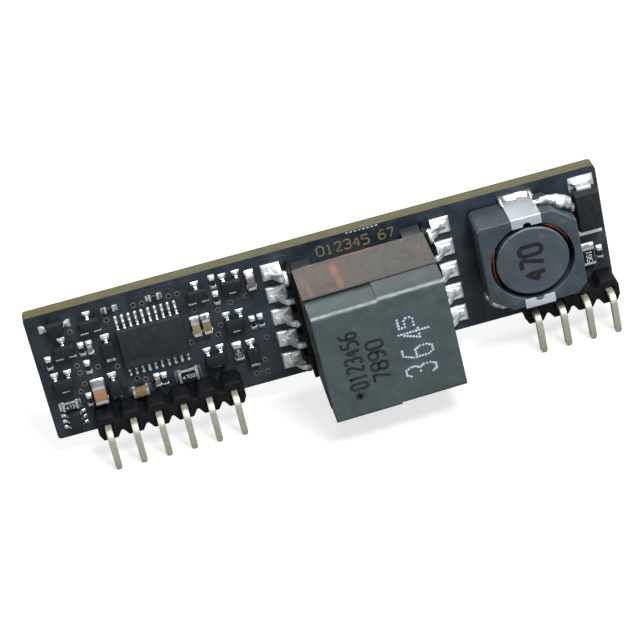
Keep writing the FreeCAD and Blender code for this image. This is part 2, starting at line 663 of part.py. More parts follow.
def inductor_clip():
    """Folded strip: foot under the base, wall up the ring's side, lip on its front."""
    side = INDUCTOR_SIDE / 2
    wall = CLIP_THICKNESS
    seat = SOLDER_THICKNESS
    front = INDUCTOR_FRONT
    half = CLIP_WIDTH / 2
    foot = slab(-half, half, side - CLIP_FOOT, side + wall, seat, seat + wall)
    riser = slab(-half, half, side, side + wall, seat, front + wall)
    lip = slab(-half, half, side + wall - CLIP_LIP, side + wall, front, front + wall)
    notch = Part.makeCylinder(CLIP_NOTCH_RADIUS, wall, V(0, -front, side + wall - CLIP_LIP),
                              V(0, -1, 0))
    clip = foot.fuse([riser, lip.cut(notch)]).removeSplitter()
    bends = [e for e in clip.Edges
             if abs(e.tangentAt(e.FirstParameter).x) > 0.9 and e.CenterOfMass.z > side + wall - 0.01]
    return clip.makeFillet(CLIP_BEND_RADIUS, bends)


def wire_end():
    """Flattened end of the coil's wire, from the clip's edge around the ring's cut corner."""
    side = INDUCTOR_SIDE / 2
    start = CLIP_WIDTH / 2
    thick = WIRE_END_THICKNESS
    corner = side - INDUCTOR_CHAMFER_ALONG
    end_x = corner + INDUCTOR_CHAMFER_ALONG * WIRE_END_REACH
    end_z = side - INDUCTOR_CHAMFER_DOWN * WIRE_END_REACH
    points = [(start, side), (corner, side), (end_x, end_z), (end_x + thick / 2, end_z + thick),
              (corner + thick / 2, side + thick), (start, side + thick)]
    corners = [V(x, -WIRE_END_HEIGHT - WIRE_END_WIDTH / 2, z) for x, z in points]
    return Part.Face(Part.makePolygon(corners + corners[:1])).extrude(V(0, WIRE_END_WIDTH, 0))


def inductor():
    """All inductor pieces by node name; the lower clip and wire are the upper ones turned."""
    place = (INDUCTOR_MID, INDUCTOR_MID_HEIGHT)
    outward = V(0, -1, 0)
    back = V(0, -INDUCTOR_BACK, 0)
    ring = inductor_prism(INDUCTOR_BACK, INDUCTOR_FRONT)
    ring = ring.cut(Part.makeCylinder(INDUCTOR_BORE_RADIUS, INDUCTOR_RING_DEPTH, back, outward))
    drum = Part.makeCylinder(DRUM_RADIUS, INDUCTOR_RING_DEPTH, back, outward)
    rims = [e for e in drum.Edges if e.CenterOfMass.y < 0.01 - INDUCTOR_FRONT]
    drum = drum.makeChamfer(DRUM_BEVEL, rims)
    window = INDUCTOR_RING_DEPTH - 2 * DRUM_FLANGE
    groove_start = V(0, -INDUCTOR_BACK - DRUM_FLANGE, 0)
    groove = Part.makeCylinder(DRUM_RADIUS, window, groove_start, outward)
    groove = groove.cut(Part.makeCylinder(DRUM_WAIST_RADIUS, window, groove_start, outward))
    coil = Part.makeCylinder(COIL_RADIUS, window, groove_start, outward)
    coil = coil.cut(Part.makeCylinder(DRUM_WAIST_RADIUS + COIL_CLEARANCE, window, groove_start,
                                      outward))
    base = inductor_prism(INDUCTOR_SEAT, INDUCTOR_BACK)
    clip = inductor_clip()
    wire = wire_end()
    half = CLIP_WIDTH / 2
    side = INDUCTOR_SIDE / 2
    upper_pad = slab(-half, half, side - CLIP_FOOT, side + CLIP_PAD_OVERHANG, 0, SOLDER_THICKNESS)
    lower_pad = slab(-half, half, -side - LOWER_PAD_OVERHANG, CLIP_FOOT - side, 0,
                     SOLDER_THICKNESS)
    pieces = {
        "inductor_ring": [ring],
        "inductor_drum": [drum.cut(groove)],
        "inductor_coil": [coil],
        "inductor_base": [base],
        "inductor_clip_upper": [clip],
        "inductor_clip_lower": [turned(clip, 180)],
        "inductor_wire_ends": [wire, turned(wire, 180)],
        "inductor_solder": [upper_pad, lower_pad],
    }
    return {node: [placed(s, place) for s in solids] for node, solids in pieces.items()}


def power_diode():
    """Large two-lead package, with flat leads folded down its ends and under its body."""
    seat = SOLDER_THICKNESS + POWER_DIODE_LEAD_THICKNESS
    body = tapered_body(POWER_DIODE_LENGTH, POWER_DIODE_WIDTH, POWER_DIODE_HEIGHT, seat,
                        POWER_DIODE_DRAFT)
    thick = POWER_DIODE_LEAD_THICKNESS
    middle = (POWER_DIODE_HEIGHT + seat) / 2
    end = POWER_DIODE_SPAN / 2
    inner = POWER_DIODE_LENGTH / 2 - POWER_DIODE_DRAFT
    points = [
        (inner, middle - thick / 2), (end - thick, middle - thick / 2), (end - thick, seat),
        (end - POWER_DIODE_PAD_LENGTH, seat), (end - POWER_DIODE_PAD_LENGTH, SOLDER_THICKNESS),
        (end, SOLDER_THICKNESS), (end, middle + thick / 2), (inner, middle + thick / 2),
    ]
    lead = profile(points, POWER_DIODE_LEAD_WIDTH).cut(body)
    land = pad(end - POWER_DIODE_PAD_LENGTH, end + POWER_DIODE_PAD_OVERHANG, POWER_DIODE_PAD_WIDTH)
    place = (POWER_DIODE_MID, POWER_DIODE_MID_HEIGHT)
    pieces = {
        "output_diode_body": [body],
        "output_diode_leads": [lead, mirrored(lead)],
        "output_diode_solder": [land, mirrored(land)],
    }
    return {node: [placed(s, place, 90) for s in solids] for node, solids in pieces.items()}


def small_parts():
    """Every small component of the board, collected by kind of piece."""
    nodes = {}

    def add(parts, places, names, degrees):
        for place in places:
            for solids, name in zip(parts, names):
                nodes.setdefault(name, []).extend(placed(s, place, degrees) for s in solids)

    resistor_nodes = ("chip_resistor_bodies", "chip_resistor_caps", "chip_resistor_solder")
    marked_nodes = ("marked_resistor_bodies", "marked_resistor_caps", "marked_resistor_solder")
    capacitor_nodes = ("ceramic_capacitor_bodies", "ceramic_capacitor_caps",
                       "ceramic_capacitor_solder")
    add(chip(CHIP_SMALL), SMALL_RESISTORS_UPRIGHT, resistor_nodes, 90)
    add(chip(CHIP_SMALL), [from_right(SMALL_RESISTOR_FROM_RIGHT)], resistor_nodes, 90)
    add(chip(CHIP_SMALL), SMALL_RESISTORS_FLAT, resistor_nodes, 0)
    add(chip(CHIP_MIDDLE), [MARKED_MIDDLE_FLAT], marked_nodes, 0)
    add(chip(CHIP_MIDDLE), [MARKED_MIDDLE_UPRIGHT], marked_nodes, 90)
    add(chip(CHIP_LARGE), [MARKED_LARGE_FLAT], marked_nodes, 0)
    add(chip(CHIP_LARGE), [from_right(MARKED_LARGE_FROM_RIGHT)], marked_nodes, 90)
    add(chip(CHIP_SMALL_CAPACITOR), SMALL_CAPACITORS, capacitor_nodes, 90)
    add(chip(CHIP_MIDDLE_CAPACITOR), MIDDLE_CAPACITORS_UPRIGHT, capacitor_nodes, 90)
    add(chip(CHIP_MIDDLE_CAPACITOR), MIDDLE_CAPACITORS_FLAT, capacitor_nodes, 0)
    add(chip(CHIP_LARGE_CAPACITOR), [LARGE_CAPACITOR_PLACE], capacitor_nodes, 90)
    three = transistor((0,), (-1, 1), TRANSISTOR_LEAD_WIDTH, TRANSISTOR_PAD_WIDTH)
    transistor_nodes = ("transistor_bodies", "transistor_leads", "transistor_solder")
    add(three, TRANSISTORS_ONE_UP, transistor_nodes, 0)
    add(three, TRANSISTORS_TWO_UP, transistor_nodes, 180)
    six = transistor((-1, 0, 1), (-1, 0, 1), SIX_LEAD_WIDTH, SIX_LEAD_PAD_WIDTH)
    add(six, [SIX_LEAD_PLACE], ("dual_transistor_body", "dual_transistor_leads",
                                "dual_transistor_solder"), 90)
    diode_nodes = ("small_diode_bodies", "small_diode_leads", "small_diode_solder")
    add(small_diode(), DIODES_UPRIGHT, diode_nodes, 90)
    add(small_diode(), DIODES_FLAT, diode_nodes, 0)
    add(controller(), [CONTROLLER_PLACE], ("controller_body", "controller_leads",
                                           "controller_solder"), 0)
    return nodes


def all_nodes():
    left = left_pin_positions()
    right = right_pin_positions()
    nodes = {
        "circuit_board": circuit_board(),
        "header_body_left": header_body(left),
        "header_body_right": header_body(right),
        "header_pins_left": [header_pin(x) for x in left],
        "header_pins_right": [header_pin(x) for x in right],
        "header_pin_joints": [pin_joint(x) for x in left + right],
    }
    nodes.update(small_parts())
    nodes.update(transformer())
    nodes.update(inductor())
    nodes.update(power_diode())
    return nodes


os.makedirs("parts", exist_ok=True)
for name, solids in all_nodes().items():
    shape = solids[0] if len(solids) == 1 else Part.makeCompound(solids)
    shape.exportStep("parts/" + name + ".step")
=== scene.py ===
import math
import random

import bmesh
import bpy
from mathutils import Matrix, Vector, geometry, noise


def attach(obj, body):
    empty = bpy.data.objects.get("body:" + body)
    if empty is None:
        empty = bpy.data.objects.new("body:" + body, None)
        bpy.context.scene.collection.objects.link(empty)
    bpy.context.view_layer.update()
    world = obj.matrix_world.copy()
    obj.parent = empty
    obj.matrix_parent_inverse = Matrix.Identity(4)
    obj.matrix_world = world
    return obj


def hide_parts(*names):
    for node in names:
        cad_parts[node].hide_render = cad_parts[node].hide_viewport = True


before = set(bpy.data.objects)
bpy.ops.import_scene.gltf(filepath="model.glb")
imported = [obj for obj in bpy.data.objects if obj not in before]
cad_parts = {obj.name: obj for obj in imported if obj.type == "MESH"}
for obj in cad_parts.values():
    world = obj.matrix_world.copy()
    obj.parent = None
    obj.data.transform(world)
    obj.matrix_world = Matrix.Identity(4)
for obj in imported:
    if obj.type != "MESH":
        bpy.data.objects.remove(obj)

MM = 0.001
# The board's left end and front face in the frame, then its size, in millimetres
LEFT, FACE = -30.48, 3.81
LENGTH, HEIGHT, THICK = 57.0, 14.0, 1.5
random.seed(7)
scene = bpy.context.scene
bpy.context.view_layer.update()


def tone(r, g, b):
    """A colour written as it looks, from 0 to 255."""
    return tuple((c / 255 / 12.92) if c <= 10 else ((c / 255 + 0.055) / 1.055) ** 2.4
                 for c in (r, g, b)) + (1.0,)


def wire(tree, kind, *values, **settings):
    """Adds a shader node. Its inputs, in their order, are set or linked. None leaves one as it is."""
    made = tree.nodes.new("ShaderNode" + kind)
    for key, value in settings.items():
        setattr(made, key, value)
    for socket, value in zip(made.inputs, values):
        if isinstance(value, bpy.types.NodeSocket):
            tree.links.new(value, socket)
        elif value is not None:
            socket.default_value = value
    return made.outputs


class Shade:
    """A node material, with textures in the object's own millimetres."""

    def __init__(self, name, colour, rough, metal=0.0, specular=0.5):
        self.material = bpy.data.materials.new(name)
        self.material.use_nodes = True
        self.tree = self.material.node_tree
        self.bsdf = self.tree.nodes["Principled BSDF"]
        self.bsdf.inputs["Base Color"].default_value = colour
        self.bsdf.inputs["Roughness"].default_value = rough
        self.bsdf.inputs["Metallic"].default_value = metal
        self.bsdf.inputs["Specular IOR Level"].default_value = specular
        self.place = self.wire("TexCoord")["Object"]

    def wire(self, kind, *values, **settings):
        return wire(self.tree, kind, *values, **settings)

    def at(self, x=1.0, y=1.0, z=1.0):
        return self.wire("VectorMath", self.place, (x * 1000, y * 1000, z * 1000), operation="MULTIPLY")[0]

    def noise(self, scale, detail=3.0, rough=0.55, place=None, warp=0.0):
        place = place or self.at()
        return self.wire("TexNoise", place, None, scale, detail, rough, None, None, None, warp)["Fac"]

    def ramp(self, value, *stops):
        made = self.tree.nodes.new("ShaderNodeValToRGB")
        self.tree.links.new(value, made.inputs["Fac"])
        while len(made.color_ramp.elements) < len(stops):
            made.color_ramp.elements.new(0.5)
        for element, (where, colour) in zip(made.color_ramp.elements, stops):
            element.position = where
            element.color = colour if not isinstance(colour, (int, float)) else (colour,) * 3 + (1,)
        return made.outputs["Color"]

    def mix(self, share, a, b, blend="MIX"):
        # The two colours are the seventh and eighth inputs, and the mixed one is the third output
        return self.wire("Mix", share, *[None] * 5, a, b, data_type="RGBA", blend_type=blend)[2]

    def maths(self, kind, a, b=0.5):
        return self.wire("Math", a, b, operation=kind)[0]

    def axis(self, name, source="place"):
        source = self.at() if source == "place" else self.wire("NewGeometry")["Normal"]
        return self.wire("SeparateXYZ", source)[name]

    def blot(self, centre, radii, soft, ragged, scale=1.6):
        """Share of a soft-edged patch round a place of the frame, in millimetres."""
        off = self.wire("VectorMath", self.at(), centre, operation="SUBTRACT")[0]
        grown = self.wire("VectorMath", off, radii, operation="DIVIDE")[0]
        far = self.wire("VectorMath", grown, operation="LENGTH")["Value"]
        rough = self.maths("MULTIPLY", self.maths("SUBTRACT", self.noise(scale, 4, 0.65), 0.5), ragged)
        return self.ramp(self.maths("ADD", far, rough), (1 - soft, 1.0), (1.0, 0.0))

    def share(self, name, start, reach):
        """How far a place lies along an axis, from 0 at start to 1 after reach."""
        return self.maths("MULTIPLY", self.maths("SUBTRACT", self.axis(name), start), 1 / reach)

    def colour(self, value, under=1.0):
        """Sets the base colour. Where the surface faces down, the colour is multiplied by a share: painted
        shade.
        """
        if under < 1:
            # Painted shade: faces that look down keep only the share under of the colour
            facing = self.maths("MULTIPLY", self.axis("Z", "normal"), -1.0)
            down = self.ramp(facing, (0.2, 1.0), (0.5, under))
            value = self.mix(1.0, value, down, "MULTIPLY")
        self.tree.links.new(value, self.bsdf.inputs["Base Color"])

    def roughness(self, value):
        self.tree.links.new(value, self.bsdf.inputs["Roughness"])

    def bump(self, height, depth=0.02, strength=0.6):
        made = self.tree.nodes.new("ShaderNodeBump")
        made.inputs["Strength"].default_value = strength
        made.inputs["Distance"].default_value = depth * MM
        self.tree.links.new(height, made.inputs["Height"])
        self.tree.links.new(made.outputs[0], self.bsdf.inputs["Normal"])


def mask_material():
    s = Shade("solder_mask", tone(46, 56, 67), 0.4, specular=0.3)
    patches = s.ramp(s.noise(0.42, 3, 0.5, warp=0.6),
                     (0.4, tone(37, 46, 55)), (0.52, tone(45, 55, 64)), (0.64, tone(52, 63, 72)))
    fine = s.ramp(s.noise(5, 4, 0.7), (0.3, 0.84), (0.7, 1.14))
    colour = s.mix(0.8, patches, fine, "MULTIPLY")
    dust = s.ramp(s.noise(16, 2, 0.5), (0.7, 0.0), (0.76, 0.5))
    colour = s.mix(dust, colour, tone(78, 88, 96))
    # Painted shade and light: the mask is darker towards the board's left end and lighter towards its right end
    across = s.ramp(s.share("X", LEFT, LENGTH), (0.0, 0.66), (0.3, 0.92), (0.7, 1.12))
    s.colour(s.mix(1.0, colour, across, "MULTIPLY"))
    s.roughness(s.ramp(s.noise(3, 3), (0.3, 0.32), (0.7, 0.5)))
    s.bump(s.noise(9, 4), 0.014, 0.5)
    return s.material


def laminate_material():
    s = Shade("bare_laminate", tone(120, 114, 84), 0.8, specular=0.2)
    grain = s.noise(1, 4, 0.7, s.at(0.5, 7, 3))
    glass = s.ramp(grain, (0.3, tone(76, 75, 56)), (0.5, tone(98, 96, 74)), (0.72, tone(112, 110, 90)))
    layer = s.ramp(s.share("Y", FACE, THICK), (0.0, 0.5), (0.05, 0.95), (0.35, 1.0), (0.4, 0.88),
                   (0.45, 1.02), (0.9, 1.0), (0.965, 0.35))
    warm = s.ramp(s.share("X", LEFT, LENGTH), (0.0, tone(255, 244, 205)), (0.25, tone(255, 253, 246)))
    s.colour(s.mix(1.0, s.mix(1.0, glass, layer, "MULTIPLY"), warm, "MULTIPLY"))
    s.bump(grain, 0.02, 0.5)
    return s.material


def solder_material(name, low, high, rough, flux, metal=1.0):
    s = Shade(name, tone(*high), rough, metal=metal)
    base = s.ramp(s.noise(2.4, 4, 0.65, warp=0.8), (0.34, tone(*low)), (0.58, tone(*high)))
    specks = s.ramp(s.noise(4.2, 4, 0.7, warp=1.2), (flux, 0.0), (flux + 0.06, 1.0))
    # Dark specks are flux. Faces that look down keep only 0.35 of the colour, a painted shade
    s.colour(s.mix(specks, base, tone(58, 56, 52)), 0.35)
    s.roughness(s.ramp(s.noise(6, 3), (0.3, rough - 0.08), (0.7, rough + 0.14)))
    s.bump(s.noise(3.2, 4, 0.6, warp=0.5), 0.05, 0.5)
    return s.material


def metal_material(name, low, high, rough, stretch=(1, 1, 1), depth=0.01, under=0.3, metal=1.0, over=1.0):
    """under and over are the shares of the colour left on faces that look down and up: painted shade on the
    undersides and on the top faces.
    """
    s = Shade(name, tone(*high), rough, metal=metal)
    grain = s.noise(5, 4, 0.6, s.at(*stretch))
    # Painted shade: faces that look up are darkened to the share over of the colour
    up = s.ramp(s.axis("Z", "normal"), (0.6, 1.0), (0.95, over))
    s.colour(s.mix(1.0, s.ramp(grain, (0.3, tone(*low)), (0.65, tone(*high))), up, "MULTIPLY"), under)
    s.roughness(s.ramp(s.noise(2, 3), (0.3, rough - 0.07), (0.7, rough + 0.1)))
    s.bump(grain, depth, 0.4)
    return s.material


def plastic_material(name, low, high, rough=0.5, grain=16, depth=0.01, specular=0.3):
    s = Shade(name, tone(*high), rough, specular=specular)
    s.colour(s.ramp(s.noise(1.6, 4, 0.6), (0.32, tone(*low)), (0.68, tone(*high))))
    s.roughness(s.ramp(s.noise(grain / 2, 2), (0.3, rough - 0.08), (0.7, rough + 0.1)))
    s.bump(s.noise(grain, 2), depth, 0.5)
    return s.material


def ferrite_material(name, low, high, rough, stroke, highlight_tone, behind=False, stains=()):
    """Ground ferrite with a painted highlight along its rounded top edge, and painted shade on its top and end
    faces and, where behind is set, near the board behind the tape.
    """
    s = Shade(name, tone(*high), rough, specular=0.35)
    ground = s.noise(1, 4, 0.7, s.at(0.5, 12 * stroke, 12 * stroke))
    body = s.ramp(s.noise(0.7, 4, 0.6), (0.3, tone(*low)), (0.7, tone(*high)))
    streak = s.ramp(ground, (0.25, 0.8), (0.5, 1.0), (0.75, 1.16))
    body = s.mix(0.85, body, streak, "MULTIPLY")
    pits = s.ramp(s.noise(7, 3, 0.7), (0.7, 1.0), (0.78, 0.55))
    body = s.mix(0.7, body, pits, "MULTIPLY")
    for centre, radii, tint in stains:
        body = s.mix(s.maths("MULTIPLY", s.blot(centre, radii, 0.8, 0.9, 2.5), 0.6), body, tone(*tint))
    # Painted highlight: a lighter, patchy band where the faces turn from front to top along the rounded top
    # edge
    turned = s.ramp(s.axis("Z", "normal"), (0.3, 0.0), (0.6, 0.9), (0.74, 0.9), (0.93, 0.0))
    # Painted shade: faces that look straight up are darker
    top = s.ramp(s.axis("Z", "normal"), (0.85, 1.0), (0.98, 0.68))
    body = s.mix(1.0, body, top, "MULTIPLY")
    outward = s.ramp(s.maths("MULTIPLY", s.axis("Y", "normal"), -1.0), (0.25, 0.0), (0.45, 1.0))
    patchy = s.ramp(s.noise(2.2, 4, 0.7, s.at(0.6, 2, 2)), (0.35, 0.35), (0.62, 1.0))
    body = s.mix(s.maths("MULTIPLY", s.maths("MULTIPLY", turned, outward), patchy), body, tone(*highlight_tone))
    # Painted shade: the end faces, which look along the board, are darker
    ends = s.ramp(s.maths("ABSOLUTE", s.axis("X", "normal")), (0.7, 1.0), (0.95, 0.45))
    body = s.mix(1.0, body, ends, "MULTIPLY")
    if behind:
        # Painted shade: the core is darker where it lies back behind the tape, near the board
        back = s.ramp(s.maths("SUBTRACT", s.axis("Y"), 0.9), (0.3, 0.0), (0.5, 0.75))
        body = s.mix(back, body, tone(40, 43, 50))
    s.colour(body)
    s.roughness(s.ramp(ground, (0.3, rough - 0.08), (0.7, rough + 0.1)))
    s.bump(s.maths("ADD", ground, s.noise(22, 2)), 0.012, 0.4)
    return s.material


def tape_material():
    s = Shade("amber_tape", tone(104, 92, 86), 0.4, specular=0.35)
    base = s.ramp(s.noise(0.7, 4, 0.6, s.at(1, 0.6, 0.5), 0.4),
                  (0.34, tone(84, 78, 76)), (0.5, tone(96, 89, 84)), (0.66, tone(90, 85, 86)))
    left = s.ramp(s.share("X", -4.3, 12.9), (0.3, tone(255, 236, 222)), (0.5, tone(236, 240, 238)))
    colour = s.mix(1.0, base, left, "MULTIPLY")
    for centre, radii, tint, soft in (
            ((-3.55, -3.6, 7), (0.42, 3.4, 9), (150, 124, 78), 0.8),
            ((-3.9, -0.5, 7), (0.5, 3.0, 9), (132, 98, 70), 0.8),
            ((-0.75, -0.9, 13), (0.5, 1.7, 2), (158, 104, 70), 0.8),
            ((-0.6, -3.4, 13), (0.45, 2.0, 2), (140, 98, 74), 0.8),
            ((1.9, 1.3, 13), (3.4, 0.45, 2), (166, 108, 66), 0.7),
            ((-2.6, 1.3, 13), (0.9, 0.4, 2), (160, 112, 62), 0.6),
            ((6.4, 0.9, 13), (0.3, 0.5, 2), (150, 92, 60), 0.8),
            ((7.6, -1.2, 13), (0.22, 0.9, 2), (140, 90, 62), 0.8)):
        colour = s.mix(s.blot(centre, radii, soft, 0.7), colour, tone(*tint))
    scratch = s.ramp(s.noise(1, 3, 0.6, s.at(0.8, 9, 9)), (0.35, 0.86), (0.7, 1.1))
    colour = s.mix(0.7, colour, scratch, "MULTIPLY")
    ragged = s.maths("MULTIPLY", s.maths("SUBTRACT", s.noise(2.6, 3), 0.5), 0.5)
    edge = s.maths("ADD", s.maths("MULTIPLY", s.axis("Y"), -1.0), ragged)
    edge = s.ramp(s.maths("SUBTRACT", edge, 4.2), (0.55, 0.0), (0.68, 0.85))
    colour = s.mix(edge, colour, tone(46, 36, 30))
    # Painted shade: the tape's end faces, which look along the board, are darker
    ends = s.ramp(s.maths("ABSOLUTE", s.axis("X", "normal")), (0.6, 1.0), (0.9, 0.3))
    s.colour(s.mix(1.0, s.mix(1.0, colour, ends, "MULTIPLY"), tone(218, 222, 222), "MULTIPLY"))
    s.roughness(s.ramp(s.noise(3, 3), (0.3, 0.34), (0.7, 0.5)))
    s.bump(s.noise(1.1, 3, 0.5, s.at(1, 0.5, 0.5)), 0.05, 0.35)
    return s.material


LOOK = {
    "board": mask_material(),
    "laminate": laminate_material(),
    "solder": solder_material("bright_solder", (196, 202, 206), (240, 244, 246), 0.34, 0.7),
    "pad_solder": solder_material("pad_solder", (224, 232, 235), (244, 248, 250), 0.36, 0.66, 0.6),
    "wrinkled": solder_material("wrinkled_solder", (140, 142, 142), (232, 236, 238), 0.28, 0.62),
    "burnt": solder_material("burnt_solder", (150, 152, 148), (232, 236, 236), 0.4, 0.66),
    "tinned": metal_material("tinned_lead", (190, 198, 202), (234, 240, 242), 0.3),
    "broad_lead": metal_material("broad_lead", (204, 212, 216), (236, 242, 244), 0.32, metal=0.55),
    "clip": metal_material("plated_clip", (192, 201, 206), (216, 224, 230), 0.5, (2, 2, 2), 0.02, 0.8,
                           0.75, 0.68),
    "pin": metal_material("pale_plating", (176, 175, 156), (206, 204, 184), 0.42, (3, 3, 0.4), 0.01,
                          0.8, 0.6),
    "cap": metal_material("chip_terminal", (160, 166, 170), (228, 232, 234), 0.42, (2, 2, 2), 0.02,
                          0.6, 0.8),
    "copper": metal_material("enamelled_copper", (96, 44, 20), (176, 92, 46), 0.3, (3, 3, 3), 0.01, 1.0),
    "bronze": metal_material("scorched_wire", (110, 84, 52), (206, 188, 152), 0.34, (4, 4, 4), 0.01, 0.8),
    "gold": plastic_material("bare_gold", (116, 100, 74), (162, 144, 108), 0.4, 12, 0.01, 0.6),
    "header": plastic_material("header_moulding", (12, 13, 16), (22, 24, 28), 0.5, 12, 0.012, 0.16),
    "package": plastic_material("package_epoxy", (36, 41, 43), (47, 52, 55), 0.62, 22, 0.015, 0.2),
    "small_package": plastic_material("small_package_epoxy", (28, 32, 35), (38, 43, 46), 0.58, 22, 0.015,
                                      0.2),
    "bobbin": plastic_material("bobbin_moulding", (8, 8, 10), (18, 18, 20), 0.4, 9, 0.02, 0.2),
    "glaze": plastic_material("resistor_glaze", (14, 15, 17), (24, 26, 29), 0.35, 10, 0.008, 0.3),
    "pale_alumina": plastic_material("pale_alumina", (150, 154, 156), (184, 188, 190), 0.6),
    "alumina": plastic_material("alumina", (58, 62, 66), (84, 88, 92), 0.6),
    "ink": plastic_material("pale_ink", (200, 207, 212), (232, 236, 238), 0.6),
    "print": plastic_material("blue_white_print", (166, 188, 214), (204, 220, 238), 0.55),
    "dark_print": plastic_material("dark_print", (26, 33, 34), (46, 55, 56), 0.55, 8, 0.01, 0.2),
    "drum_print": plastic_material("drum_print", (30, 26, 34), (46, 38, 46), 0.55, 8, 0.01, 0.2),
    "ring": plastic_material("via_ring", (70, 62, 62), (106, 96, 94), 0.5, 12, 0.01, 0.4),
    # Painted shade: the lining inside each via is nearly black
    "hole": plastic_material("via_shade_lining", (2, 2, 3), (6, 6, 8), 0.9, 12, 0.01, 0.0),
    # In each ferrite, the colour after roughness and stroke is its painted highlight on the top edge, and
    # behind adds painted shade near the board
    "ferrite": ferrite_material("ground_ferrite", (64, 77, 78), (78, 93, 95), 0.36, 1.0,
                                (150, 164, 166), behind=True),
    "dark_ferrite": ferrite_material("pressed_ferrite", (56, 66, 75), (68, 80, 90), 0.48, 0.6, (118, 130, 142),
                                     stains=[((21.7, -1.0, 11.4), (0.7, 1.5, 0.35), (120, 92, 74)),
                                             ((21.9, -1.0, 6.2), (0.4, 1.5, 0.7), (96, 88, 80))]),
    "drum": ferrite_material("drum_ferrite", (62, 73, 81), (76, 89, 98), 0.48, 0.6, (132, 142, 148),
                             stains=[((19.5, -0.6, 10.5), (0.35, 1.5, 0.3), (140, 96, 62)),
                                     ((20.6, -0.6, 6.6), (0.25, 1.5, 0.4), (104, 88, 72))]),
    "tape": tape_material(),
    "orange": plastic_material("orange_ceramic", (158, 120, 92), (184, 142, 112), 0.5),
    "olive": plastic_material("olive_ceramic", (136, 126, 84), (166, 154, 110), 0.5),
    "tan": plastic_material("tan_ceramic", (124, 104, 78), (152, 128, 98), 0.5),
    "brown": plastic_material("brown_ceramic", (118, 98, 68), (150, 126, 92), 0.5),
    "grey": plastic_material("grey_ceramic", (104, 98, 98), (134, 128, 126), 0.5),
}


def spot(place, degrees=0):
    """From a part's own millimetres, along, out of the face and up, to the frame's."""
    c, s = math.cos(math.radians(degrees)), math.sin(math.radians(degrees))
    return Matrix(((c, 0, -s, LEFT + place[0]), (0, -1, 0, FACE), (s, 0, c, place[1]), (0, 0, 0, 1)))


HERE = Matrix.Identity(4)
BACKWARD = Matrix.Scale(-1, 4, (1, 0, 0))


class Piece:
    """One visible piece, gathered from closed solids given in millimetres."""

    def __init__(self, name, slot, looks, *nodes):
        self.name, self.slot, self.looks, self.nodes = name, slot, looks, nodes
        self.bm = bmesh.new()

    def add(self, solid, at=HERE, bevel=0.0, segments=2, look=0, sharp=25, edge_look=None):
        verts, faces = solid
        part = bmesh.new()
        made = [part.verts.new(v) for v in verts]
        for face in faces:
            part.faces.new([made[i] for i in face])
        if bevel:
            part.normal_update()
            bmesh.ops.recalc_face_normals(part, faces=part.faces)
            self.soften(part, bevel, segments, sharp)
        part.normal_update()
        for face in part.faces:
            face.material_index = look if edge_look is None or abs(face.normal.y) > 0.5 else edge_look
        part.transform(at)
        self.join(part)

    def take(self, node, bevel=0.0, segments=2, sharp=30, spare=None, sink=0.0):
        """A CAD node's own form, with its edges rounded. sink moves it back into the part."""
        part = bmesh.new()
        part.from_mesh(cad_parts[node].data)
        bmesh.ops.remove_doubles(part, verts=part.verts, dist=2e-7)
        bmesh.ops.dissolve_limit(part, angle_limit=math.radians(0.4), verts=part.verts, edges=part.edges)
        part.transform(Matrix.Translation((0, sink, 0)) @ Matrix.Scale(1 / MM, 4))
        if bevel:
            self.soften(part, bevel, segments, sharp, spare)
        for face in part.faces:
            face.material_index = 0
        self.join(part)
        return self

    def soften(self, part, bevel, segments, sharp, spare=None):
        """Rounds the edges that are sharper than an angle, apart from those that spare names."""
        limit = math.radians(sharp)
        edges = [e for e in part.edges if len(e.link_faces) == 2 and e.calc_face_angle(0) > limit]
        if spare:
            edges = [e for e in edges if not all(spare(v.co) for v in e.verts)]
        bmesh.ops.bevel(part, geom=edges, offset=bevel, segments=segments, profile=0.5,
                        affect="EDGES", clamp_overlap=True)

    def join(self, part):
        mesh = bpy.data.meshes.new("part")
        part.to_mesh(mesh)
        part.free()
        self.bm.from_mesh(mesh)
        bpy.data.meshes.remove(mesh)

    def done(self, smooth=32):
        bmesh.ops.recalc_face_normals(self.bm, faces=self.bm.faces)
        self.bm.transform(Matrix.Scale(MM, 4))
        mesh = bpy.data.meshes.new(self.name)
        self.bm.to_mesh(mesh)
        self.bm.free()
        for look in self.looks:
            mesh.materials.append(LOOK[look])
        mesh.polygons.foreach_set("use_smooth", [True] * len(mesh.polygons))
        mesh.set_sharp_from_angle(angle=math.radians(smooth))
        ob = bpy.data.objects.new(self.name, mesh)
        scene.collection.objects.link(ob)
        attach(ob, "root")
        if self.nodes:
            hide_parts(*self.nodes)


def plain(name, slot, look, node, bevel=0.0, segments=2, sharp=30):
    """A piece that is one CAD node with rounded edges and one look."""
    Piece(name, slot, [look], node).take(node, bevel, segments, sharp).done()


def block(x0, x1, o0, o1, z0, z1):
    verts = [(x, o, z) for x in (x0, x1) for o in (o0, o1) for z in (z0, z1)]
    return verts, [(0, 1, 3, 2), (4, 6, 7, 5), (0, 4, 5, 1), (2, 3, 7, 6), (0, 2, 6, 4), (1, 5, 7, 3)]


def bend(points, radius, steps=4):
    """The path with its inner corners rounded."""
    points = [Vector(p) for p in points]
    out = [points[0]]
    for a, b, c in zip(points, points[1:], points[2:]):
        u, v = a - b, c - b
        cut = min(radius / math.tan(u.angle(v) / 2), u.length * 0.45, v.length * 0.45)
        p, q = b + u.normalized() * cut, b + v.normalized() * cut
        for i in range(steps + 1):
            t = i / steps
            out.append((1 - t) ** 2 * p + 2 * (1 - t) * t * b + t * t * q)
    return out + [points[-1]]


